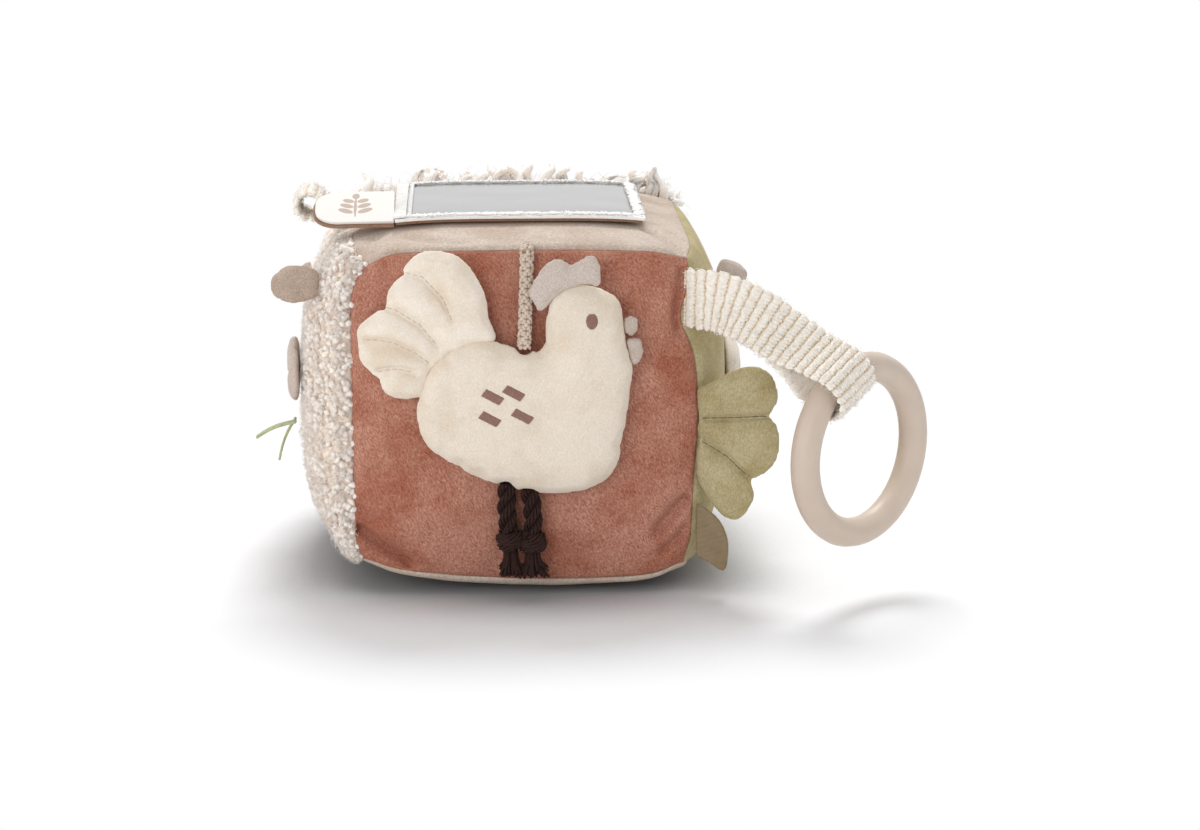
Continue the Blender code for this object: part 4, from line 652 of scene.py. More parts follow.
def block_shape(points):
    """Lays true points on the real, slightly slumped cube."""
    x, y, z = points.T.copy()
    share = x / HALF[0]
    front = eased((20 * MM - y) / SLUMP_DEPTH)
    low = eased((45 * MM - z) / SLUMP_HEIGHT)
    high = eased((z - 85 * MM) / SLUMP_HEIGHT)
    level, tilt, sag = LOW_SLUMP
    z = z + front * low * (level + tilt * share + sag * share ** 2) * MM
    z = z - high * TOP_SLUMP * share ** 2
    seam = np.exp(-((x - HALF[0]) / SEAM_REACH) ** 2 - ((y + HALF[1]) / SEAM_REACH) ** 2)
    pulled = STRAP_PULL * np.exp(-((z - STRAP_PULL_HEIGHT) / SEAM_REACH) ** 2)
    bulged = SEAM_BULGE * np.exp(-((z - SEAM_BULGE_HEIGHT) / SEAM_BULGE_REACH) ** 2)
    x = x + seam * (bulged - pulled) * MM
    points = np.stack([x, y, z], 1)
    for signs in [(a, b, c) for a in (-1, 1) for b in (-1, 1) for c in (-1, 1)]:
        way = np.array(signs) / math.sqrt(3)
        apart = np.linalg.norm(points - (MIDDLE + HALF * signs), axis=1)
        pull = CORNER_PULLS.get(signs, CORNER_PULL) * MM
        points = points - way * (pull * np.exp(-(apart / CORNER_REACH) ** 2))[:, None]
    points[:, 2] = np.maximum(points[:, 2], 0)
    return points


def line_distance(places, line):
    """The distance of flat points from a broken line."""
    line = np.asarray(line, float)
    best = np.full(len(places), 1e9)
    for start, end in zip(line, line[1:]):
        way = end - start
        share = np.clip((places - start) @ way / (way @ way), 0, 1)
        best = np.minimum(best, np.linalg.norm(places - start - share[:, None] * way, axis=1))
    return best


def panel(name, face, crown, lumps, folds=(), clumps=0.0):
    """One crowned panel; folds are lines in the panel's plane, in millimetres."""
    across, upward = np.array(ACROSS[face], float), np.array(UPWARD[face], float)
    outward = np.cross(across, upward)
    bpy.ops.object.select_all(action="DESELECT")
    bpy.ops.mesh.primitive_grid_add(x_subdivisions=PANEL_ROWS, y_subdivisions=PANEL_ROWS, size=2)
    piece = bpy.context.object
    piece.name = name
    flat = points_of(piece)[:, :2]
    flat = np.sign(flat) * np.interp(np.abs(flat), [0, 0.87, 1], [0, 0.945, 1])
    half = np.array([np.abs(across) @ HALF, np.abs(upward) @ HALF])
    place = flat * half
    edge = np.clip(1 - (half - np.abs(place)) / SEAM_ROUND, 0, 1) * math.pi / 2
    rolled = np.sign(place) * (half - SEAM_ROUND + (SEAM_ROUND - SEAM_INSET) * np.sin(edge))
    laid = np.where(edge > 0, rolled, place)
    drop = SEAM_INSET * (1 - np.cos(edge[:, 0]) * np.cos(edge[:, 1]))
    share = (1 - flat[:, 0] ** 4) * (1 - flat[:, 1] ** 4)
    height = crown * share
    free = np.cos(edge[:, 0]) * np.cos(edge[:, 1])
    base = MIDDLE + outward * (np.abs(outward) @ HALF)
    points = base + laid[:, :1] * across + laid[:, 1:] * upward
    inner = np.minimum(half[0] - np.abs(place[:, 0]), half[1] - np.abs(place[:, 1]))
    height -= lumps * (0.5 + 0.5 * noise_at(points, LUMP_SIZE, 3.1)) * free
    pucker = noise_at(points, PUCKER_SIZE, 7.7) * np.exp(-inner / PUCKER_REACH)
    height += PUCKER_RISE * pucker * free
    for line, depth, width in folds:
        near = line_distance(place / MM, line)
        height -= depth * MM * np.exp(-(near / width) ** 2) * free
    if clumps:
        height += clumps * (0.5 + 0.8 * noise_at(points, CLUMP_SIZE, 1.3)) * free
    points = points + outward * (height - drop)[:, None]
    set_points(piece, block_shape(points))
    face_outwards(piece)
    middle_face = min(piece.data.polygons, key=lambda f: (f.center - Vector(base)).length)
    if middle_face.normal.dot(Vector(outward)) < 0:
        piece.data.flip_normals()
    wall = piece.modifiers.new("cloth", "SOLIDIFY")
    wall.thickness = CLOTH
    wall.offset = -1
    apply_all(piece)
    return piece


# %% [markdown]
# Folds follow the photograph: a pinch beside the strap, two dents low on the right, a
# long dent low on the left, and a crease on top from the mirror's corner to the front.

# %% Front, top, right and bottom
FRONT_FOLDS = [
    ([(55.6, 52), (54.8, 42), (55.6, 31)], 3.0, 1.9), ([(56, 28), (49, 21)], 1.3, 2.4),
    ([(-57, -43), (-52, -47), (-45, -51), (-40, -54)], 5.0, 2.4),
    ([(-57, -34), (-52, -38)], 2.0, 2.4), ([(56, -31), (52, -35), (47, -41)], 4.2, 2.3),
    ([(56, -42), (53, -46), (49, -49)], 2.8, 2.0),
    ([(56, -18), (53, -20)], 0.8, 2.6), ([(-12, -58), (-10, -50)], 0.6, 3.0),
    ([(18, -58), (20, -49)], 0.6, 3.2), ([(-60, 8), (-54, 7)], 0.7, 2.8),
    ([(-48, 58), (-45, 47)], 0.9, 3.2)]
front = panel("terracotta_front", "front", 6 * MM, 0.8 * MM, FRONT_FOLDS)
fit(front, TERRACOTTA, "block", "terracotta_velour", "front_panel")
TOP_FOLDS = [
    ([(45, -39), (50, -47), (56, -56)], 2.2, 2.2), ([(52, -36), (58, -48)], 1.2, 2.2),
    ([(-44, -44), (-34, -51), (-20, -55)], 1.1, 2.2), ([(-50, -40), (-58, -50)], 1.8, 3.6),
    ([(-30, -43), (-18, -48)], 0.6, 2.0), ([(50, 30), (58, 40)], 0.8, 3.0)]
top = panel("taupe_top", "top", TOP_CROWN, 0.5 * MM, TOP_FOLDS)
fit(top, TAUPE, "block", "taupe_velour", "top_panel")
right = panel("sage_right", "right", 13.5 * MM, 1.0 * MM,
              [([(-60, 40), (-50, 34), (-40, 33)], 1.5, 3.2), ([(-60, -20), (-48, -24)], 1.0, 3.0)])
fit(right, SAGE, "block", "sage_velour", "right_panel")
bottom = panel("beige_bottom", "bottom", 7 * MM, 0.3 * MM,
               [([(-20, 60), (-17, 52)], 0.9, 2.2), ([(8, 60), (10, 50)], 0.9, 2.0),
                ([(26, 60), (24, 52)], 0.8, 2.4), ([(-38, 60), (-36, 53)], 0.7, 2.0)])
fit(bottom, BEIGE, "block", "beige_cotton", "bottom_panel")

# %% [markdown]
# ## Woolly piles
# The left face is sherpa, a matted woolly pile, and the back is a longer curly one. Both
# are a ground cloth with thick tufts or locks, and thousands of fine fibres or wisps
# between them. Each is a tapering strand on a loose helix; neighbours lean into shared
# tufts and all droop a little. Their height drifts over a few centimetres, as a worn pile's
# does. The random numbers come from a seed, so every run is the same.

# %% Curled locks
BASE_SCATTER = 0.3 * MM
DRIFT, DRIFT_SIZE = 0.45, 28 * MM
FLOOR_GAP = 0.4 * MM


def pile(name, ground_points, ground_normals, ahead, count, height, curl, turns, thickness,
         droop, tuft, seed, steps, sides, taper):
    """Curled locks over a ground; sizes in metres, tuft is the share of leaning together."""
    rng = np.random.default_rng(seed)
    picked = rng.choice(len(ground_points), count, replace=False)
    bases = ground_points[picked] + rng.normal(0, BASE_SCATTER, (count, 3))
    outward = ground_normals[picked] + 0.8 * np.asarray(ahead)
    outward /= np.linalg.norm(outward, axis=1, keepdims=True)
    centres = bases[rng.choice(count, max(8, count // 14), replace=False)]
    nearest = np.array([int(np.argmin(((centres - base) ** 2).sum(1))) for base in bases])
    toward = centres[nearest] - bases
    side = np.cross(outward, rng.normal(0, 1, (count, 3)))
    side /= np.linalg.norm(side, axis=1, keepdims=True)
    other = np.cross(outward, side)
    share = np.linspace(0, 1, steps + 1)
    drift = 1 + DRIFT * noise_at(bases, DRIFT_SIZE, seed)
    tall = height * rng.uniform(0.75, 1.15, count) * drift
    turned = math.tau * turns * rng.uniform(0.7, 1.3, count)[:, None] * share
    turned = turned + rng.uniform(0, math.tau, count)[:, None]
    reach = curl * rng.uniform(0.7, 1.2, count)[:, None] * (0.25 + 0.75 * share)
    lean = rng.normal(0, 0.18, (count, 2)) * height
    rise = tall[:, None] * (1.25 * share - 0.25 * share ** 3)
    paths = (bases[:, None] + outward[:, None] * rise[:, :, None]
             + toward[:, None] * (tuft * share ** 1.5)[None, :, None]
             + side[:, None] * (reach * np.cos(turned) + lean[:, :1] * share)[:, :, None]
             + other[:, None] * (reach * np.sin(turned) + lean[:, 1:] * share)[:, :, None])
    paths[:, :, 2] -= droop * share ** 2
    paths[:, :, 2] = np.maximum(paths[:, :, 2], FLOOR_GAP)
    width = thickness * rng.uniform(0.8, 1.2, count)[:, None] * (1 - taper * share)
    width = width * np.sqrt(1.04 - share ** 6)
    points, faces = strand_mesh(paths, width, sides)
    piece = mesh_piece(name, points, faces)
    # The share along each strand, from root to tip; the wool materials turn its low end into painted
    # shade.
    store(piece, "tip", np.broadcast_to(share[None, :, None], (count, steps + 1, sides)))
    return piece


def ground_of(piece):
    """The outer points of a panel and their normals."""
    half = len(piece.data.vertices) // 2
    return points_of(piece)[:half], normals_of(piece)[:half]


# The third number sets each ground cloth low on that root-to-tip ramp, so the ground takes the painted
# shade of the pile's depth.
WOOLLY = {"left": ("cream_sherpa_left", 15.5 * MM, 0.15, SHERPA, "cream_sherpa", "left_panel"),
          "back": ("curly_back", 9.5 * MM, 0.1, CURLY, "curly_pile", "back_panel")}
grounds = {}
for side, (name, crown, tip, material, slot, node) in WOOLLY.items():
    cloth = panel(name, side, crown, 0.6 * MM, clumps=1.2 * MM)
    grounds[side] = ground_of(cloth)
    store(cloth, "tip", np.full(len(cloth.data.vertices), tip))
    fit(cloth, material, "block", slot, node)
# Name, side, count, height, curl, turns, radius, droop, tuft, seed, steps, sides, taper.
WOOL = [("sherpa_tufts", "left", 3400, 1.1, 0.4, 0.5, 1.2, 0.2, 0.2, 11, 4, 5, 0.1),
        ("sherpa_fuzz", "left", 5200, 2.8, 0.8, 1.0, 0.1, 0.5, 0.3, 12, 4, 3, 0.3),
        ("sherpa_fuzz_too", "left", 5200, 2.5, 0.9, 1.1, 0.11, 0.5, 0.45, 15, 4, 3, 0.3),
        ("sherpa_fuzz_more", "left", 5200, 2.2, 1.0, 1.1, 0.11, 0.5, 0.5, 16, 4, 3, 0.3),
        ("curly_locks", "back", 1600, 11.6, 2.0, 1.2, 1.9, 1.0, 0.5, 13, 9, 5, 0.3),
        ("curly_wisps", "back", 5200, 10.6, 1.8, 1.2, 0.17, 1.2, 0.6, 14, 5, 3, 0.4)]
for name, side, count, tall, curl, turns, thick, droop, tuft, seed, steps, sides, taper in WOOL:
    outward = np.cross(ACROSS[side], UPWARD[side])
    wool = pile(name, *grounds[side], outward, count, tall * MM, curl * MM, turns, thick * MM,
                droop * MM, tuft, seed, steps, sides, taper)
    fit(wool, WOOLLY[side][3], "block", WOOLLY[side][4])

# %% [markdown]
# Under the cover is the filling. The model's filling is a true cube, and this cover's
# corners are drawn in, so a copy of it is slimmed and given the same slumped shape.

# %% Filling and rattle
MERGE_REACH = 0.002 * MM


def copy_of(node, name):
    """A merged copy of a model node, as a new object at the origin."""
    piece = bpy.data.objects.new(name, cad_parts[node].data.copy())
    piece.data.name = name
    bpy.context.scene.collection.objects.link(piece)
    face_outwards(piece, merge=MERGE_REACH)
    return piece


FILLING_CORE = 40 * MM
FILLING_SHARE = 0.955
filling = copy_of("fibre_filling", "carded_filling")
slim = points_of(filling) - MIDDLE
outer = np.abs(slim).max(axis=1) > FILLING_CORE
slim[outer] *= FILLING_SHARE
set_points(filling, np.where(outer[:, None], block_shape(slim + MIDDLE), slim + MIDDLE))
fit(filling, FIBRE, "block", "polyester_fibre", "fibre_filling")
plug = copy_of("fibre_plug", "carded_plug")
fit(plug, FIBRE, "block", "polyester_fibre", "fibre_plug")
for node, material in (("rattle_shell_lower", MOULDED), ("rattle_shell_upper", MOULDED),
                       ("rattle_ball", BEAD)):
    for material_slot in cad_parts[node].material_slots:
        material_slot.material = material

# %% [markdown]
# ## The mirror
# A soft mirror sheet lies on brown suede cloth. Its rim is bound by a dense white
# overlock stitch, and a strip of twill covers its left end. All of it drapes over the
# crowned top, so each layer is a grid whose height comes from the same crown.

# %% Draped layers
MIRROR_HALF = np.array([43.5, 38.0]) * MM
FILM_HALF = np.array([40.5, 35.0]) * MM
BACKING_LOW, BACKING_HIGH = (-50.5 * MM, -37 * MM), (42.5 * MM, 37 * MM)
# Painted shade: the backing's strip that reaches past the mirror's left end.
SHADE_STRIP_END, SHADE_STRIP_LOW, SHADE_STRIP_HIGH = -42.5 * MM, 0.2 * MM, 20 * MM
TAPE_LOW, TAPE_HIGH = (-43.9 * MM, -38.2 * MM), (-39.6 * MM, 38.2 * MM)
TOP_REACH = 59.7 * MM
SOFT_RIM = 0.2 * MM
BACKING_LIFT, FILM_LIFT, TAPE_LIFT = 0.6 * MM, 1.7 * MM, 3.2 * MM
SHEET, TAPE, BINDING = 0.8 * MM, 0.7 * MM, 1.2 * MM
FILM_RIPPLE, TAPE_RIPPLE = 0.12 * MM, 0.15 * MM
RIPPLE_SIZE = 16 * MM


def top_height(x, y, lift):
    """The height of a layer over the crowned top."""
    share = (1 - (x / TOP_REACH) ** 4) * (1 - (y / TOP_REACH) ** 4)
    return HALF[2] + MIDDLE[2] + TOP_CROWN * share + lift


def draped(name, low, high, cells, lift, thickness, ripple=0.0, drop=None):
    """A thin layer on the top panel, from corner to corner, in metres."""
    bpy.ops.object.select_all(action="DESELECT")
    bpy.ops.mesh.primitive_grid_add(x_subdivisions=cells[0], y_subdivisions=cells[1], size=1)
    piece = bpy.context.object
    piece.name = name
    points = points_of(piece)
    places = np.asarray(low) + (points[:, :2] + 0.5) * (np.asarray(high) - np.asarray(low))
    height = top_height(places[:, 0], places[:, 1], lift + thickness)
    height = height + ripple * noise_at(np.column_stack([places, height * 0]), RIPPLE_SIZE, 5.0)
    set_points(piece, np.column_stack([places, height]))
    if drop:
        only(piece)
        bpy.ops.object.mode_set(mode="EDIT")
        bpy.ops.mesh.select_mode(type="FACE")
        bpy.ops.mesh.select_all(action="DESELECT")
        bpy.ops.object.mode_set(mode="OBJECT")
        for face in piece.data.polygons:
            face.select = bool(drop(*face.center[:2]))
        bpy.ops.object.mode_set(mode="EDIT")
        bpy.ops.mesh.delete(type="FACE")
        bpy.ops.object.mode_set(mode="OBJECT")
    thicken(piece, thickness, SOFT_RIM)
    return piece


# The strip kept past the mirror's left end, behind the tab, is a dark sheet put as painted shade, where
# the top panel lies in the tab's shadow.
backing = draped("suede_backing", BACKING_LOW, BACKING_HIGH, (62, 50), BACKING_LIFT, SHEET,
                 drop=lambda x, y: x < SHADE_STRIP_END and not SHADE_STRIP_LOW < y < SHADE_STRIP_HIGH)
fit(backing, SUEDE, "block", "brown_suede", "mirror_backing")
film = draped("mirror_sheet", -FILM_HALF, FILM_HALF, (90, 80), FILM_LIFT, SHEET,
              ripple=FILM_RIPPLE)
fit(film, MIRROR, "block", "mirror_film", "mirror_film")
end_tape = draped("twill_end_tape", TAPE_LOW, TAPE_HIGH, (8, 110), TAPE_LIFT, TAPE,
                  ripple=TAPE_RIPPLE)
fit(end_tape, TWILL, "block", "white_cotton", "mirror_end_tape")

# %% [markdown]
# The overlock edge is thread: it zigzags over a flat band, three times round, and its loops
# make a tufty, slightly ragged rim. The path runs round the mirror's rim and swings
# in and out at each stitch.

# %% Overlock edge
BAND_MARGIN, STITCH_INSET = 0.2 * MM, 0.9 * MM
STITCH_REACH, STITCH_PITCH = 3.9 * MM, 1.25 * MM
STITCH_THREAD, STITCH_LIFT = 0.34 * MM, 2.95 * MM
PASS_RISE, RISE_SCATTER = 0.15 * MM, 0.08 * MM
ZIGZAG_MIDDLE, ZIGZAG_HALF = -38.6 * MM, 0.75 * MM
ZIGZAG_END, ZIGZAG_PITCH = 36.5, 1.1
ZIGZAG_THREAD, ZIGZAG_LIFT = 0.3 * MM, 3.1 * MM


def overlock(inner, width, pitch, thread, passes, lift, seed):
    """A zigzag of thread round a rounded rectangle, over a flat band."""
    rng = np.random.default_rng(seed)
    corners = [(-1, -1), (1, -1), (1, 1), (-1, 1), (-1, -1)]
    rim = []
    for (ax, ay), (bx, by) in zip(corners, corners[1:]):
        start, end = inner * (ax, ay), inner * (bx, by)
        count = int(np.linalg.norm(end - start) / (0.5 * pitch))
        rim += [start + (end - start) * k / count for k in range(count)]
    places = np.array(rim)
    out = places / inner
    side = np.where(np.abs(out) > 0.999, np.sign(out), 0.0)
    side /= np.linalg.norm(side, axis=1, keepdims=True)
    loops = []
    for number in range(passes):
        swing = (np.arange(len(places)) + number) % 2
        reach = width * (swing + rng.uniform(-0.12, 0.12, len(places)))
        path = places + side * reach[:, None] + rng.normal(0, 0.12 * pitch, places.shape)
        rise = lift + PASS_RISE * number + rng.normal(0, RISE_SCATTER, len(places))
        path = np.column_stack([path, top_height(path[:, 0], path[:, 1], rise)])
        path = np.concatenate([path, path[:1]])
        loops.append(resample(smooth_line(path, 3), 3 * len(path)))
    return strand_mesh(loops, thread, 5)


inside = FILM_HALF + BAND_MARGIN
band = draped("overlock_edge", -MIRROR_HALF, MIRROR_HALF, (58, 50), FILM_LIFT, BINDING,
              drop=lambda x, y: abs(x) < inside[0] and abs(y) < inside[1])
stitches = mesh_piece("overlock_thread",
                      *overlock(FILM_HALF - STITCH_INSET, STITCH_REACH, STITCH_PITCH,
                                STITCH_THREAD, 3, STITCH_LIFT, 5))
swings = np.arange(-ZIGZAG_END, ZIGZAG_END + 0.1, ZIGZAG_PITCH) * MM
column = np.column_stack([ZIGZAG_MIDDLE + ZIGZAG_HALF * (-1.0) ** np.arange(len(swings)), swings])
column = np.column_stack([column, top_height(column[:, 0], column[:, 1], ZIGZAG_LIFT)])
zigzag = mesh_piece("zigzag_thread", *strand_mesh([smooth_line(column, 3)], ZIGZAG_THREAD, 5))
only(band)
stitches.select_set(True)
zigzag.select_set(True)
bpy.ops.object.join()
fit(band, WHITE_THREAD, "block", "white_cotton", "mirror_edging")

# %% [markdown]
# ## The pull tab
# At the mirror's left end hovers a little tab of white coated cloth on brown suede, sewn
# under the tape. It carries a small pale print, here a plain sprig of oval leaves. The
# print is kept as a number on each point of a fine grid, which the material reads.

# %% Tab
TAB_X, TAB_Y, TAB_LIFT = -43.8 * MM, -26 * MM, 4.8 * MM
TAB_TILT = math.radians(19.0)
TAB_ROOT = Vector((TAB_X, TAB_Y, top_height(TAB_X, TAB_Y, TAB_LIFT)))
TAB_FRAME = Matrix.Translation(TAB_ROOT) @ Matrix.Rotation(TAB_TILT, 4, "X")
TAB_LENGTH = 27.5 * MM
TAB_DEPTH = 22.0 * MM
TAB_SAG, TAB_DROOP = 0.35 * MM, 0.5 * MM
TAB_RIM = 0.15 * MM
TAB_LAYER = 0.9 * MM
SPRIG_X = -13.5


def tab_plate(name, margin, radius, thickness, low, cell):
    """A plate with two rounded corners, a little bowed, in the tab's frame."""
    length, half = TAB_LENGTH + margin, TAB_DEPTH / 2 + margin
    columns, rows = int(length / cell), int(2 * half / cell)
    bpy.ops.object.select_all(action="DESELECT")
    bpy.ops.mesh.primitive_grid_add(x_subdivisions=columns, y_subdivisions=rows, size=1)
    piece = bpy.context.object
    piece.name = name
    points = points_of(piece)
    x, y = (points[:, 0] - 0.5) * length, points[:, 1] * 2 * half
    into = np.clip((radius - length - x) / radius, 0, 1)
    room = half - radius * (1 - np.sqrt(1 - into ** 2))
    y = y / half * room
    z = low + thickness - TAB_SAG * (y / half) ** 2 - TAB_DROOP * (x / length) ** 2
    set_points(piece, np.column_stack([x, y, z]))
    thicken(piece, thickness, TAB_RIM)
    local = points_of(piece)
    set_points(piece, [TAB_FRAME @ Vector(place) for place in local])
    return piece, local


def oval(places, centre, long, short, degrees):
    """One inside an oval and nought outside, with a soft edge."""
    turn = math.radians(degrees)
    apart = places[:, :2] / MM - centre
    first = apart @ (math.cos(turn), math.sin(turn)) / long
    second = apart @ (-math.sin(turn), math.cos(turn)) / short
    return np.clip((1 - np.hypot(first, second)) * 3 + 0.5, 0, 1)


tab_face, local = tab_plate("printed_tab_face", 0.0, 8.5 * MM, TAB_LAYER, 0.0, 0.3 * MM)
sprig = oval(local, (SPRIG_X, -1.0), 0.5, 7.0, 0)
for height, lean in ((-5.0, 1.0), (-1.4, 0.9), (2.2, 0.75)):
    for way in (-1, 1):
        sprig = np.maximum(sprig, oval(local, (SPRIG_X + way * 3.4 * lean, height + 1.5),
                                       2.9 * lean, 1.4, way * 32))
sprig = np.maximum(sprig, oval(local, (SPRIG_X, 7.2), 1.3, 2.2, 0))
store(tab_face, "print", sprig)
PRINTED = grained("printed_cloth", [(0.3, "#e0dbd6"), (0.7, "#e8e4df")], (0.5, 0.5, 0.5),
                  relief=0.15, depth=0.2, along="print",
                  along_stops=[(0.4, "#ffffff"), (0.6, "#cbbaaf")], Roughness=0.7)
fit(tab_face, PRINTED, "tab", "white_cotton", "tab_face")
tab_back, _ = tab_plate("suede_tab_backing", 0.8 * MM, 9.0 * MM, TAB_LAYER, -1.2 * MM, 0.8 * MM)
fit(tab_back, SUEDE, "tab", "brown_suede", "tab_backing")

# %% [markdown]
# ## Corduroy bands
# The hanging loop and the ring's strap are folded bands of wide wale corduroy, with the
# ribs running across the band. A band is built as stations along its folded path. Each
# station's height follows a round rib with a sharp groove, its width draws in at each
# groove, so the long edges come out scalloped, and knobs of chenille wander over the
# ribs. Short fibres stand all over it, so that its edges look woolly.

# %% Ribbed band
RIB_PITCH = 3.3 * MM
RIB_RISE = 1.15 * MM
RIB_STATIONS = 12
BAND_CELLS = 60
KNOB_PITCH = 1.35 * MM
SCALLOP = 0.95 * MM
EDGE_WOBBLE = 0.75 * MM
GROOVE_WANDER, GROOVE_BEAT = 0.42 * MM, 0.16 * MM
KNOB_RISE, TUFT_RISE = 0.42 * MM, 0.24 * MM
NAP_CURL, NAP_RADIUS = 0.3 * MM, 0.1 * MM
LOOP_NAP, STRAP_NAP = 0.6 * MM, 0.8 * MM


def drop_outline(length, radius, root_half, taper):
    """The path of a folded band in its own plane: one layer, a round eye, the other."""
    turn = math.pi - math.acos((radius - root_half) / taper)
    layer = [Vector((-length + (length - taper) * share, root_half)) for share in (0, 0.5, 1)]
    eye = [radius * Vector((math.cos(angle), math.sin(angle)))
           for angle in (turn * (2 * k / 10 - 1) for k in range(11))]
    return [Vector((p.x, -p.y)) for p in layer] + eye + layer[::-1]


def corduroy_band(name, places, outwards, acrosses, along, width, thickness, thins, seed):
    """A ribbed band from its middle line, the way out, the way across and the length."""
    phase = (along / RIB_PITCH) % 1.0
    rib = np.sqrt(np.clip(1 - (2 * phase - 1) ** 2, 0, 1))
    shares = np.linspace(-1, 1, BAND_CELLS + 1)
    bulge = np.sqrt(np.clip(1 - np.abs(shares) ** 9, 0, 1))
    half = width / 2 - SCALLOP * (1 - rib)
    wobble = noise_at(places, 1.6 * MM, seed) * EDGE_WOBBLE
    reach = (half + wobble)[:, None] * shares
    outer_side = places[:, None] + acrosses[:, None] * reach[:, :, None]
    knobs = noise_at(outer_side.reshape(-1, 3), 0.95 * MM, seed + 3.0).reshape(outer_side.shape[:2])
    turns = (half[:, None] * shares / KNOB_PITCH + 0.5 * np.floor(along / RIB_PITCH)[:, None]
             + 0.35 * phase[:, None] + 0.3 * knobs)
    tufts = np.sin(math.tau * turns)
    wander = noise_at(outer_side.reshape(-1, 3), 1.9 * MM, seed + 9.0).reshape(outer_side.shape[:2])
    phase = ((along[:, None] + GROOVE_WANDER * wander + GROOVE_BEAT * tufts) / RIB_PITCH) % 1.0
    rib = np.sqrt(np.clip(1 - (2 * phase - 1) ** 2, 0, 1))
    rise = thickness / 2 - RIB_RISE + rib * RIB_RISE + (KNOB_RISE * knobs + TUFT_RISE * tufts) * rib
    rise = rise * thins[:, None] * bulge
    inner_rise = -thickness / 2 * thins[:, None] * bulge * (0.75 + 0.25 * rib)
    upper = outer_side + outwards[:, None] * rise[:, :, None]
    lower = outer_side + outwards[:, None] * inner_rise[:, :, None]
    loop = np.concatenate([upper, lower[:, -2:0:-1]], axis=1)
    stations, around = loop.shape[:2]
    index = np.arange(stations * around).reshape(stations, around)
    near, far = index[:-1], index[1:]
    quads = np.stack([near, np.roll(near, -1, 1), np.roll(far, -1, 1), far], -1).reshape(-1, 4)
    faces = quads.tolist() + [index[0, ::-1].tolist(), index[-1].tolist()]
    piece = mesh_piece(name, loop.reshape(-1, 3), faces)
    # Painted shade: the rib value is low in the grooves and dips, where the corduroy material colours
    # the cloth a darker tan; the inner side stays plain.
    depth = np.concatenate([np.clip(rib * (0.82 + 0.18 * tufts), 0, 1),
                            np.full((stations, BAND_CELLS - 1), 0.75)], axis=1)
    store(piece, "rib", depth)
    face_outwards(piece)
    return piece


def nap(name, ground_piece, count, tall, seed):
    """Short fine fibres over a band, for its woolly edges."""
    points, normals = points_of(ground_piece), normals_of(ground_piece)
    fibres = pile(name, points, normals, (0, 0, 0), count, tall, NAP_CURL, 0.6, NAP_RADIUS, 0,
                  0.0, seed, 3, 3, 0.5)
    store(fibres, "rib", np.ones(len(fibres.data.vertices)))
    return fibres


def along_of(line):
    """The length run at each point of a line."""
    return np.concatenate([[0], np.cumsum(np.linalg.norm(np.diff(line, axis=0), axis=1))])


def flat_path(outline):
    """An even, closely spaced path in the plane, with its way ahead."""
    line = np.array([tuple(point) for point in smooth_line([(*p, 0) for p in outline], 4)])[:, :2]
    length = along_of(line)[-1]
    line = resample(line, int(length / (RIB_PITCH / RIB_STATIONS)) + 1)
    ahead = np.gradient(line, axis=0)
    return line, ahead / np.linalg.norm(ahead, axis=1, keepdims=True)


# %% [markdown]
# The hanging loop leans out of the top left seam and its two layers part into an eye.

# %% Hanging loop
LOOP_LEAN = math.radians(24.0)
LOOP_SEAM = np.array([-0.060, -0.0010, 0.1235])
LOOP_REACH = 19.9 * MM
LOOP_WIDTH = 21 * MM
LOOP_HALF = 1.1 * MM
LOOP_EYE_RADIUS = 3.4 * MM
LOOP_PARTING = 0.3 * MM
loop_out = np.array([-math.cos(LOOP_LEAN), 0, math.sin(LOOP_LEAN)])
loop_face = np.array([math.sin(LOOP_LEAN), 0, math.cos(LOOP_LEAN)])
mean_radius = LOOP_EYE_RADIUS + LOOP_HALF
half_root = LOOP_HALF + LOOP_PARTING
loop_length = LOOP_REACH - mean_radius - LOOP_HALF
loop_start = LOOP_SEAM + loop_out * half_root
line, ahead = flat_path(drop_outline(loop_length, mean_radius, half_root, loop_length * 2 / 3))
loop_places = loop_start + loop_out * loop_length + line[:, :1] * loop_out + line[:, 1:] * loop_face
loop_outward = ahead[:, 1:] * loop_out - ahead[:, :1] * loop_face
hanging_loop = corduroy_band("corduroy_hanging_loop", loop_places, loop_outward,
                             np.tile((0.0, 1.0, 0.0), (len(line), 1)), along_of(line), LOOP_WIDTH,
                             2 * LOOP_HALF, np.ones(len(line)), 2.0)
fit(hanging_loop, CORDUROY, "block", "cream_corduroy", "hanging_loop")
loop_nap = nap("loop_nap", hanging_loop, 1500, LOOP_NAP, 31)
fit(loop_nap, CORDUROY, "block", "cream_corduroy")

# %% [markdown]
# The strap leaves the right front seam edge-on, sags a little, and turns over on its way
# until it lies flat round the ring's tube. Its middle line is a smooth bend between the
# seam and the ring, and the way across it turns evenly from upright to along the tube.
# Its end is tucked into the seam.

# %% Strap
RING_MIDDLE_RADIUS = 29.0 * MM
RING_TUBE_RADIUS = 5.0 * MM
STRAP_WIDTH = 20.5 * MM
STRAP_THICKNESS = 2.0 * MM
STRAP_EYE_RADIUS = 8.6 * MM
STRAP_HALF_ROOT = 1.4 * MM
STRAP_TAPER = 24 * MM
STRAP_TUCK, TUCK_SHARE, TUCK_TURN = 6.0 * MM, 0.55, 0.45
STRAP_SEAM = Vector((0.060, -0.060, 0.105))
ROOT_OUT = 2.7 * MM


def level_way(degrees):
    """A level direction, turned from the x axis."""
    turn = math.radians(degrees)
    return Vector((math.cos(turn), math.sin(turn), 0))


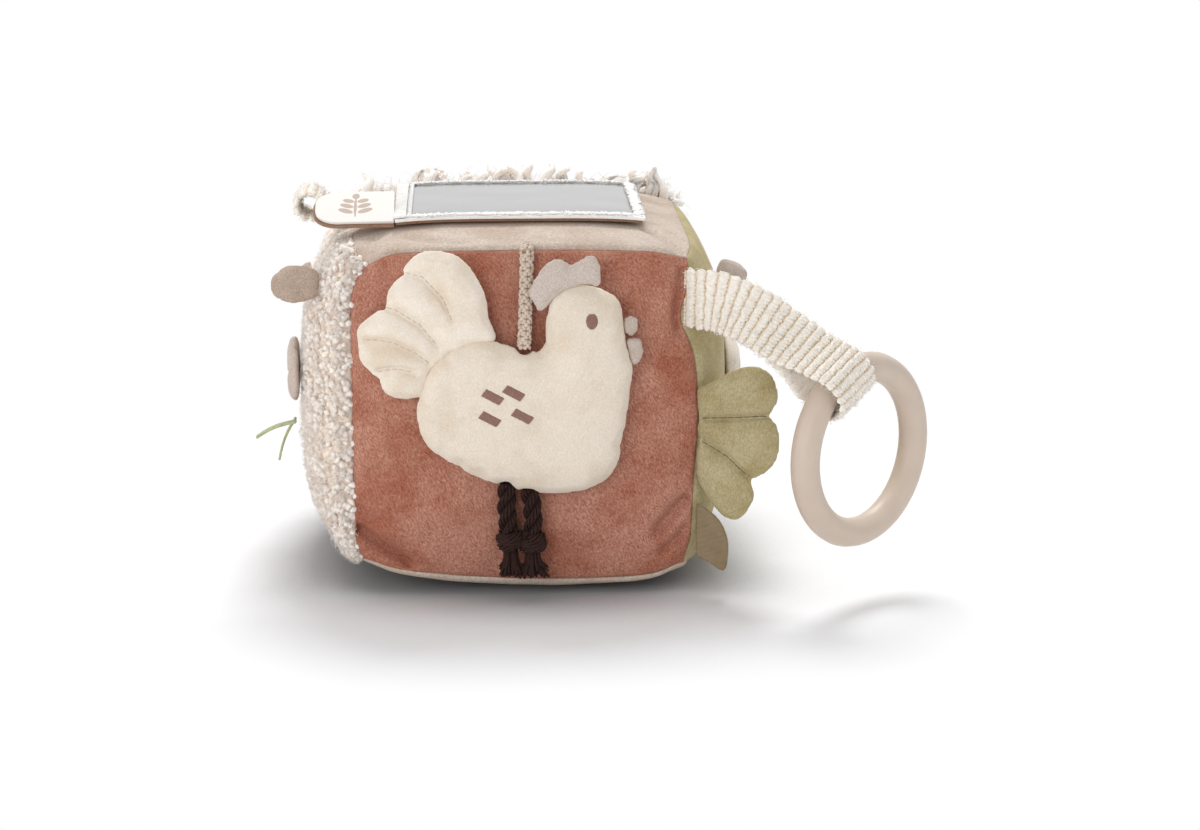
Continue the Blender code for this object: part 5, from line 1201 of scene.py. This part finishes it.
grip = math.radians(117.0)
ring_level = level_way(43.0)
ring_centre = Vector((0.116, -0.067, 0.053))
rise = Vector((0, 0, 1))
held = ring_centre + RING_MIDDLE_RADIUS * (math.cos(grip) * ring_level + math.sin(grip) * rise)
tangent = math.sin(grip) * ring_level - math.cos(grip) * rise
strap_root = STRAP_SEAM + level_way(-55) * ROOT_OUT
start_way = level_way(-18)
end_way = held - strap_root
end_way = (end_way - tangent * end_way.dot(tangent)).normalized()
strap_length = (held - strap_root).length


def strap_middle(share):
    """The strap's middle line between its seam and the ring's tube."""
    a, b = start_way * strap_length, end_way * strap_length
    return ((2 * share ** 3 - 3 * share ** 2 + 1) * strap_root
            + (share ** 3 - 2 * share ** 2 + share) * a
            + (3 * share ** 2 - 2 * share ** 3) * held + (share ** 3 - share ** 2) * b)


tucked = [Vector((-strap_length - STRAP_TUCK, way * TUCK_SHARE * STRAP_HALF_ROOT)) for way in (-1, 1)]
strap_outline = drop_outline(strap_length, STRAP_EYE_RADIUS, STRAP_HALF_ROOT, STRAP_TAPER)
strap_outline = [tucked[0]] + strap_outline + [tucked[1]]
line, ahead = flat_path(strap_outline)
strap_places, strap_outwards, strap_acrosses, thins = [], [], [], []
for p, d in zip(line.tolist(), ahead.tolist()):
    share = min(1.0, max(0.0, (p[0] + strap_length) / strap_length))
    way = (strap_middle(min(1, share + 1 / 64)) - strap_middle(max(0, share - 1 / 64))).normalized()
    wanted = rise.lerp(tangent, share ** 2 * (3 - 2 * share))
    across = (wanted - way * wanted.dot(way)).normalized()
    face = across.cross(way)
    beyond = max(0.0, p[0]) + min(0.0, p[0] + strap_length)
    centre = strap_middle(share) + way * beyond - face * p[1]
    centre.y -= TUCK_TURN * min(0.0, beyond)
    strap_places.append(centre)
    strap_outwards.append(face * d[0] + way * d[1])
    strap_acrosses.append(across)
    thins.append(min(1.0, 0.70 + 0.30 * share / 0.20))
strap = corduroy_band("corduroy_strap", np.array(strap_places), np.array(strap_outwards),
                      np.array(strap_acrosses), along_of(line), STRAP_WIDTH, STRAP_THICKNESS,
                      np.array(thins), 4.0)
fit(strap, CORDUROY, None, "cream_corduroy", "strap_loop")
strap_nap = nap("strap_nap", strap, 5500, STRAP_NAP, 32)
fit(strap_nap, CORDUROY, None, "cream_corduroy")
for piece in (strap, strap_nap):
    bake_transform(piece)

# %% [markdown]
# The teething ring is moulded silicone in one piece. It starts as a torus, and the
# mould's parting line is pushed up as a hair-fine ridge round its outside.

# %% Teething ring
PARTING_REACH, PARTING_RISE = 0.25 * MM, 0.12 * MM
bpy.ops.object.select_all(action="DESELECT")
bpy.ops.mesh.primitive_torus_add(major_segments=144, minor_segments=40,
                                 major_radius=RING_MIDDLE_RADIUS, minor_radius=RING_TUBE_RADIUS)
ring = bpy.context.object
ring.name = "silicone_ring"
points = points_of(ring)
radial = np.hypot(points[:, 0], points[:, 1])
seam = np.exp(-(points[:, 2] / PARTING_REACH) ** 2) * (radial > RING_MIDDLE_RADIUS)
points[:, :2] *= (1 + PARTING_RISE * seam / radial)[:, None]
normal = ring_level.cross(rise)
turn = Matrix((ring_level, rise, normal)).transposed()
set_points(ring, np.array([turn @ Vector(place) + ring_centre for place in points]))
fit(ring, SILICONE, "ring", "ring_silicone", "teether_ring")

# %% [markdown]
# ## Padded pieces
# The hen, its tail, comb and wattles, the leaf, the ears and the muzzles are small
# pillows: two shapes of velour sewn round their edge, turned and lightly stuffed. Each
# starts from its own solid, slimmed towards its seam, remeshed evenly and blown up as
# cloth by a little air, with a cap on how far a point may go. Seams, quilting lines and
# stitches come afterwards, because the remesh would wipe them out.

# %% Blowing up a pillow
# Slimness, then millimetres: mesh cell, cap on the air, wrinkle and fullness.
MAKES = {"hen": (0.86, 1.1, 1.6, 0.2, 0.7), "tail": (0.86, 0.9, 1.4, 0.12, 0.9),
         "comb": (0.9, 0.8, 0.8, 0.15, 0.5), "trim": (0.9, 0.6, 0.6, 0.1, 0.5),
         "leaf": (0.86, 0.9, 1.6, 0.2, 1.0), "ear": (0.9, 0.8, 0.9, 0.2, 0.5),
         "muzzle": (0.95, 0.9, 0.9, 0.25, 0.5)}
AIR_PRESSURE = 4.0
AIR_STEPS = 20
SEAM_GROOVE = 0.45 * MM
QUILT_THREAD, QUILT_LIFT = 0.15 * MM, 0.15 * MM


def remesh(piece, cell):
    """Lays an even mesh over a piece; the cell is in millimetres."""
    even = piece.modifiers.new("even", "REMESH")
    even.mode = "VOXEL"
    even.voxel_size = cell * MM
    even.use_smooth_shade = True


def soften(piece, rounds):
    """Smooths a mesh a few times."""
    smoother = piece.modifiers.new("smoother", "SMOOTH")
    smoother.factor = 0.5
    smoother.iterations = rounds


def pillow(name, node, seam_point, seam_normal, make):
    """A stuffed pillow from a model node, by one row of the table of makes."""
    slim, voxel, cap, wrinkle, fuller = make
    piece = copy_of(node, name)
    seam_point, seam_normal = np.array(seam_point, float), np.array(seam_normal, float)
    seam_normal /= np.linalg.norm(seam_normal)
    points = points_of(piece)
    off = (points - seam_point) @ seam_normal
    set_points(piece, points - ((1 - slim) * off)[:, None] * seam_normal)
    remesh(piece, voxel)
    apply_all(piece)
    rest = points_of(piece)
    air = piece.modifiers.new("air", "CLOTH")
    air.settings.quality = 4
    air.settings.use_pressure = True
    air.settings.uniform_pressure_force = AIR_PRESSURE
    air.settings.effector_weights.gravity = 0.0
    for number in range(1, AIR_STEPS + 1):
        bpy.context.scene.frame_set(number)
    apply_all(piece)
    moved = points_of(piece) - rest
    far = np.linalg.norm(moved, axis=1)
    print(f"{name}: air moved points {np.median(far) / MM:.2f} mm, at most {far.max() / MM:.2f}")
    share = np.minimum(1, cap * MM / np.maximum(far, 1e-9))
    set_points(piece, rest + moved * share[:, None])
    bpy.context.scene.frame_set(1)
    finer = piece.modifiers.new("finer", "SUBSURF")
    finer.levels = 1
    finer.render_levels = 1
    soften(piece, 4)
    apply_all(piece)
    points, normals = points_of(piece), normals_of(piece)
    dent = wrinkle * MM * (noise_at(points, 7 * MM, 2.0) + 0.5 * noise_at(points, 3 * MM, 9.0))
    off = (points - seam_point) @ seam_normal
    groove = SEAM_GROOVE * np.exp(-(off / SEAM_GROOVE) ** 2)
    points = points + normals * (fuller * MM + dent - groove)[:, None]
    low, high = [np.array(corner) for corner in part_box(node)]
    small, large = points.min(0), points.max(0)
    larger = np.maximum(1.0, (high - low) / (large - small))
    set_points(piece, (low + high) / 2 + (points - (small + large) / 2) * larger)
    return piece


def quilt(piece, lines, depth, width):
    """Presses stitched lines, given as x and z in millimetres, into both sides."""
    points, normals = points_of(piece), normals_of(piece)
    press = np.zeros(len(points))
    for line in lines:
        near = line_distance(points[:, [0, 2]] / MM, line)
        valley = 0.55 * np.exp(-(near / width) ** 2) + 0.45 * np.exp(-(near / (4.5 * width)) ** 2)
        press = np.maximum(press, valley)
    set_points(piece, points - normals * (depth * MM * press)[:, None])


def surface_tree(piece):
    """A search tree over the faces of a piece."""
    points = [vertex.co.copy() for vertex in piece.data.vertices]
    return BVHTree.FromPolygons(points, [list(face.vertices) for face in piece.data.polygons])


def on_front(tree, x, z, y=-0.2):
    """The point of a surface that is seen at x and z from the front."""
    return tree.ray_cast(Vector((x, y, z)), Vector((0, 1, 0)))[0]


def stitch_line(tree, line, dash, gap, lift):
    """Paths of the stitches along a line of x and z in millimetres."""
    steps = resample(np.asarray(line, float) * MM, 400)
    run = along_of(steps)
    paths = []
    for start in np.arange(0.4 * MM, run[-1] - dash, dash + gap):
        path = []
        for share in np.linspace(0, 1, 7):
            place = [np.interp(start + share * dash, run, steps[:, k]) for k in (0, 1)]
            hit = on_front(tree, *place)
            if hit is None:
                break
            path.append(hit - Vector((0, lift * math.sin(math.pi * share) - 0.3 * lift, 0)))
        if len(path) == 7:
            paths.append(path)
    return paths


def quilting_thread(name, piece, lines, dash, gap):
    """Stitches along the lines of a quilted pillow, as one piece of thread."""
    tree = surface_tree(piece)
    paths = []
    for line in lines:
        paths += stitch_line(tree, line, dash, gap, QUILT_LIFT)
    return mesh_piece(name, *strand_mesh(paths, QUILT_THREAD, 5))


# %% [markdown]
# ### The hen
# The hen is one flat pillow of cream velour with a separate, slightly darker tail. The
# tail is quilted by four curved lines of stitching that fan out like feathers.

# %% Hen pillows
HEN_PLANE = (0.0, -0.0697, 0.0)
COMB_PLANE = (0.0, -0.0710, 0.0)
FRONT_WAY = (0, 1, 0)
TAIL_SHIFT = (1.7, 0.5, -0.9)
TRIM_SCALE = (1.08, 1.0, 1.12)
hen = pillow("cream_hen_body", "hen_body", HEN_PLANE, FRONT_WAY, MAKES["hen"])
tail = pillow("cream_hen_tail", "hen_tail", HEN_PLANE, FRONT_WAY, MAKES["tail"])
set_points(tail, points_of(tail) + np.array(TAIL_SHIFT) * MM)
TAIL_LINES = [[(-44.5, 116.7), (-39, 116.8), (-33.5, 115.4), (-26.8, 107.9), (-24, 101)],
              [(-48.5, 105.5), (-43, 104.3), (-35, 99.3), (-28.4, 91.4)],
              [(-53.5, 94.0), (-49, 94.0), (-43.9, 93), (-36.2, 89.1), (-31.7, 85.6)],
              [(-49.5, 82.8), (-47, 83.6), (-42.7, 84), (-36.3, 82.4)]]
quilt(tail, TAIL_LINES, 1.6, 0.9)
fit(hen, CREAM, "hen", "cream_velour", "hen_body")
fit(tail, TAIL_CREAM, "hen", "cream_velour", "hen_tail")
for name, plane, make, shift in (("comb", COMB_PLANE, "comb", (0.3, 0, -0.3)),
                                 ("beak", HEN_PLANE, "trim", (-0.3, 0, -1.0)),
                                 ("wattle", HEN_PLANE, "trim", (-0.3, 0, -0.4))):
    piece = pillow("taupe_" + name, "hen_" + name, plane, FRONT_WAY, MAKES[make])
    points = points_of(piece)
    middle = points.mean(0)
    set_points(piece, middle + (points - middle) * TRIM_SCALE + np.array(shift) * MM)
    fit(piece, TRIM, "hen", "taupe_trim_velour", "hen_" + name)

# %% [markdown]
# The eye and the four feather bars are embroidered in satin stitch: threads laid side
# by side across a small shape. Each thread bows a little over the velour and dips
# into it at both ends, so it is laid along points found on the hen's own surface.

# %% Satin stitch and quilting thread
SATIN_THREAD = 0.24 * MM
EYE_AT, BARS_AT = (23.1, 100.9), ((-10.4, 75.3), (-3.3, 76.6), (-11.4, 67.7), (-0.4, 68.6))


def satin(tree, centre, half_long, half_short, degrees, pitch, oval_shape):
    """Paths of threads across a bar or an oval, in millimetres on the front."""
    turn = math.radians(degrees)
    long_way = np.array((math.cos(turn), math.sin(turn)))
    short_way = np.array((-math.sin(turn), math.cos(turn)))
    paths = []
    for at in np.arange(-half_long, half_long + 1e-6, pitch):
        reach = half_short * (math.sqrt(max(0.02, 1 - (at / (half_long + 0.2)) ** 2)) if oval_shape
                              else 1.0)
        reach += 0.12 * noise.noise((at * 3.1, centre[0], centre[1]))
        slant = 0.25 if not oval_shape else 0.0
        path = []
        for share in np.linspace(-1, 1, 9):
            place = (np.array(centre) + long_way * (at + slant * share) + short_way * reach * share)
            hit = on_front(tree, *(place * MM))
            lift = (0.34 * (1 - share ** 4) - 0.12) * MM
            path.append(hit - Vector((0, lift, 0)))
        paths.append(path)
    return paths


hen_tree = surface_tree(hen)
threads = satin(hen_tree, EYE_AT, 2.4, 1.9, 90, 0.36, True)
for bar in BARS_AT:
    threads += satin(hen_tree, bar, 3.3, 1.45, -28, 0.40, False)
embroidery = mesh_piece("satin_stitch_eye_and_feathers", *strand_mesh(threads, SATIN_THREAD, 5))
fit(embroidery, BROWN_THREAD, "hen", "brown_thread")
quilting = quilting_thread("tail_quilting_thread", tail, TAIL_LINES, 1.7 * MM, 0.7 * MM)
fit(quilting, SEWING_THREAD, "hen", "cream_velour")

# %% [markdown]
# ### The legs
# Two dark cotton cords hang from the hen, each knotted above its frayed end. A cord is
# three plies of fine yarns twisted the other way; the knot is a ply wound round twice,
# and below it the yarns spring apart. All of it is strands, laid from three sums.

# %% Leg cords
PLY_CIRCLE, YARN_CIRCLE, YARN_RADIUS = 1.75 * MM, 1.2 * MM, 0.48 * MM
PLY_LAY, YARN_LAY = 17 * MM, 8 * MM
KNOT_RADIUS, KNOT_YARN_CIRCLE, KNOT_YARN = 3.4 * MM, 1.35 * MM, 0.52 * MM
KNOT_PLY_LAY, KNOT_YARN_LAY = 20 * MM, 9 * MM
KNOT_SHIFT = Vector((0, -0.0002, 0.0006))
FRAY_YARNS, FRAY_RADIUS = 64, 0.42 * MM
# Tilt in degrees, height in millimetres, turns and phase of each turn round the knot.
WRAPS = ((24, 3.3, 1.25, 0.4), (-20, -3.1, 1.2, 2.6), (6, 0.5, 1.1, 4.4))


def twisted(line, plies, yarns, ply_circle, yarn_circle, ply_lay, yarn_lay):
    """Yarn paths of a twisted cord along a line."""
    ahead, side, up = line_frames(line, (1, 0, 0))
    run = along_of(line)
    paths = []
    for ply in range(plies):
        angle = run * math.tau / ply_lay + ply * math.tau / plies
        way = side * np.cos(angle)[:, None] + up * np.sin(angle)[:, None]
        cross = np.cross(ahead, way)
        middle = line + way * ply_circle
        for yarn in range(yarns):
            twist = -run * math.tau / yarn_lay + yarn * math.tau / yarns
            paths.append(middle + way * (yarn_circle * np.cos(twist))[:, None]
                         + cross * (yarn_circle * np.sin(twist))[:, None])
        paths.append(middle)
    return paths


def knot_wrap(centre, axis_tilt, radius, height, turns, steps, phase):
    """The path of one ply wound round a cord as a knot."""
    share = np.linspace(0, 1, steps)
    angle = phase + share * turns * math.tau
    ring_points = np.stack([radius * np.cos(angle), 0.92 * radius * np.sin(angle),
                            height * (share - 0.5)], 1)
    tilt = Matrix.Rotation(math.radians(axis_tilt), 3, "Y")
    return np.array([tilt @ Vector(place) + centre for place in ring_points])


def leg(name, top_place, foot, knot_height, seed):
    """One knotted cord with a frayed end."""
    rng = np.random.default_rng(seed)
    top_place, foot = Vector(top_place), Vector(foot)
    share = (top_place.z - knot_height) / (top_place.z - foot.z)
    knot = top_place.lerp(foot, share)
    bow = Vector((0.0007 * (1 if foot.x > 0 else -1), 0, 0))
    cord = resample(smooth_line([top_place, top_place.lerp(knot, 0.5) + bow, knot], 8), 60)
    groups = [(twisted(cord, 3, 7, PLY_CIRCLE, YARN_CIRCLE, PLY_LAY, YARN_LAY), YARN_RADIUS)]
    for tilt, high, turns, phase in WRAPS:
        wrap = knot_wrap(knot + KNOT_SHIFT, tilt, KNOT_RADIUS, high * MM, turns, 44, phase + seed)
        yarns = twisted(wrap, 1, 7, 0.0, KNOT_YARN_CIRCLE, KNOT_PLY_LAY, KNOT_YARN_LAY)
        groups.append((yarns, KNOT_YARN))
    fray = []
    for number in range(FRAY_YARNS):
        angle = rng.uniform(0, math.tau)
        spread = math.sqrt(rng.uniform(0.0, 1.0))
        start = knot + Vector((2.2 * MM * spread * math.cos(angle), 1.7 * MM * spread * math.sin(angle),
                               -1.2 * MM))
        end = Vector((foot.x + 4.8 * MM * spread * math.cos(angle) + rng.normal(0, 0.4 * MM),
                      foot.y + 2.4 * MM * spread * math.sin(angle) - 0.3 * MM,
                      foot.z + 1.9 * MM * rng.uniform(-0.3, 1.5) * (0.4 + spread)))
        hang = (start + end) / 2 + Vector((-0.7 * MM * spread * math.cos(angle), 0, -1.4 * MM))
        fray.append(resample(smooth_line([start, hang, end], 6), 14))
    groups.append((fray, FRAY_RADIUS))
    all_points, all_faces = [], []
    for paths, radius in groups:
        points, faces = strand_mesh(paths, radius, 5)
        shift = sum(len(part) for part in all_points)
        all_points.append(points)
        all_faces += [[index + shift for index in face] for face in faces]
    return mesh_piece(name, np.concatenate(all_points), all_faces)


LEGS = (("left", (-0.0057, -0.0697, 0.0430), (-0.0040, -0.0700, 0.0100), 0.0226, 1),
        ("right", (0.0019, -0.0697, 0.0413), (0.0034, -0.0704, 0.0100), 0.0216, 2))
for side, top_place, foot, knot_height, seed in LEGS:
    cord_leg = leg("knotted_leg_" + side, top_place, foot, knot_height, seed)
    fit(cord_leg, DARK_COTTON, "leg_" + side, "dark_cord", "leg_" + side)

# %% [markdown]
# ### Leaf, label and grass
# The leaf is a sage velour pillow, quilted into three lobes. The label is a blank fold
# of satin tape, and the grass is two bits of flat ribbon caught in the muzzle's seam.

# %% Leaf
LEAF_SEAM = (0.0603, -0.0603, 0.0)
leaf_turn = math.radians(-6.0)
leaf_normal = (-math.sin(leaf_turn), -math.cos(leaf_turn), 0.0)
leaf = pillow("sage_leaf", "leaf", LEAF_SEAM, leaf_normal, MAKES["leaf"])
LEAF_LINES = [[(61.5, 63.2), (77.3, 63.7), (87, 64.3)], [(61.5, 55.4), (70.6, 49.6), (78.6, 41.7)]]
LEAF_FOLDS = [[(72.3, 79), (74.5, 68.3)], [(66, 74), (69, 67)]]
quilt(leaf, LEAF_LINES, 2.3, 0.7)
quilt(leaf, LEAF_FOLDS, 0.5, 1.8)
fit(leaf, SAGE, "leaf", "sage_velour", "leaf")
# The quilting thread is real; its dark colour and near-unbroken run are also painted shade for the
# quilted creases.
leaf_thread_and_crease_shade = quilting_thread("leaf_quilting_thread", leaf, LEAF_LINES, 2.6 * MM, 0.2 * MM)
SAGE_THREAD_AND_CREASE_SHADE = grained("sage_thread_and_crease_shade", [(0.3, "#564d2d"), (0.6, "#6e6540")], (0.3, 0.3, 0.3),
                      Roughness=0.8)
fit(leaf_thread_and_crease_shade, SAGE_THREAD_AND_CREASE_SHADE, "leaf", "sage_velour")

# %% Label and grass ribbons
def fine_copy(node, name, cell, wave, wave_way, seed):
    """A finely remeshed copy of a flat node, gently waved."""
    piece = copy_of(node, name)
    remesh(piece, cell)
    soften(piece, 3)
    apply_all(piece)
    points = points_of(piece)
    shift = wave * MM * noise_at(points * (1, 0.2, 1), 9 * MM, seed)
    set_points(piece, points + shift[:, None] * np.array(wave_way))
    return piece


label = fine_copy("label", "blank_label", 0.35, 0.8, (0.24, -0.97, 0), 6.0)
fit(label, LABEL, "label", "label_tape", "label")
for node, name, body in (("grass_blade_long", "long_grass_ribbon", "grass_long"),
                         ("grass_blade_short", "short_grass_ribbon", "grass_short")):
    blade = fine_copy(node, name, 0.25, 0.25, (0.5, 0, 0.8), 8.0)
    fit(blade, GRASS, body, "grass_ribbon", node)

# %% [markdown]
# ### Ears and muzzles
# On the left is a sheep's face and on the right a calf's: padded muzzles and small ears
# of velour. The sheep's muzzle has a pressed slit for a mouth, the calf's two taupe marks.

# %% Ears and muzzles
REAR_EAR_SAG = 1.6 * MM
SLIT_WIDTH, SLIT_DEPTH = 1.1, 1.6 * MM
MARK_APART, MARK_RISE = 7.5 * MM, 1 * MM
EARS = [("sheep_ear_front", "sheep_ear_front", "sheep_ear_near"),
        ("sheep_ear_rear", "sheep_ear_rear", "sheep_ear_far"),
        ("calf_ear_front", "calf_ear", "calf_ear")]
for node, body, name in EARS:
    low, high = [np.array(corner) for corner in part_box(node)]
    spans = points_of(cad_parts[node])
    spans = spans - spans.mean(0)
    thin = np.linalg.svd(spans, full_matrices=False)[2][2]
    ear = pillow(name + "_velour", node, (low + high) / 2, thin, MAKES["ear"])
    if name == "sheep_ear_far":
        set_points(ear, points_of(ear) - (0, 0, REAR_EAR_SAG))
    fit(ear, TRIM if name == "calf_ear" else EAR, body, "taupe_trim_velour", node)

low, high = [np.array(corner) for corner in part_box("sheep_muzzle")]
muzzle = pillow("sheep_muzzle_velour", "sheep_muzzle", (high[0], 0, 0), (1, 0, 0), MAKES["muzzle"])
points, normals = points_of(muzzle), normals_of(muzzle)
middle = (low + high) / 2
slit = line_distance((points[:, 1:] - middle[1:]) / MM, [(-8, 1.5), (0, -2.5), (8, 1.5)])
press = np.exp(-(slit / SLIT_WIDTH) ** 2) * (points[:, 0] < middle[0])
set_points(muzzle, points - normals * (SLIT_DEPTH * press)[:, None])
fit(muzzle, TRIM, "block", "taupe_trim_velour", "sheep_muzzle")
low, high = [np.array(corner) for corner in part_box("calf_muzzle")]
calf = pillow("calf_muzzle_velour", "calf_muzzle", (low[0], 0, 0), (1, 0, 0), MAKES["muzzle"])
points = points_of(calf)
middle = (low + high) / 2
marks = np.zeros(len(points))
for side in (-1, 1):
    places = points[:, 1:] - (middle[1] + side * MARK_APART, middle[2] + MARK_RISE)
    marks = np.maximum(marks, oval(places, (0, 0), 2.4, 3.4, 0) * (points[:, 0] > middle[0]))
store(calf, "marks", marks)
CALF = grained("marked_cream_velour", [(0.3, "#d6cabb"), (0.65, "#ece4d9")], (0.6, 0.6, 1.0),
               relief=0.35, along="marks", along_stops=[(0.35, "#ffffff"), (0.6, "#b09a8b")],
               Roughness=0.92, Sheen_Weight=0.25, Specular_IOR_Level=0.15)
fit(calf, CALF, "block", "cream_velour", "calf_muzzle")
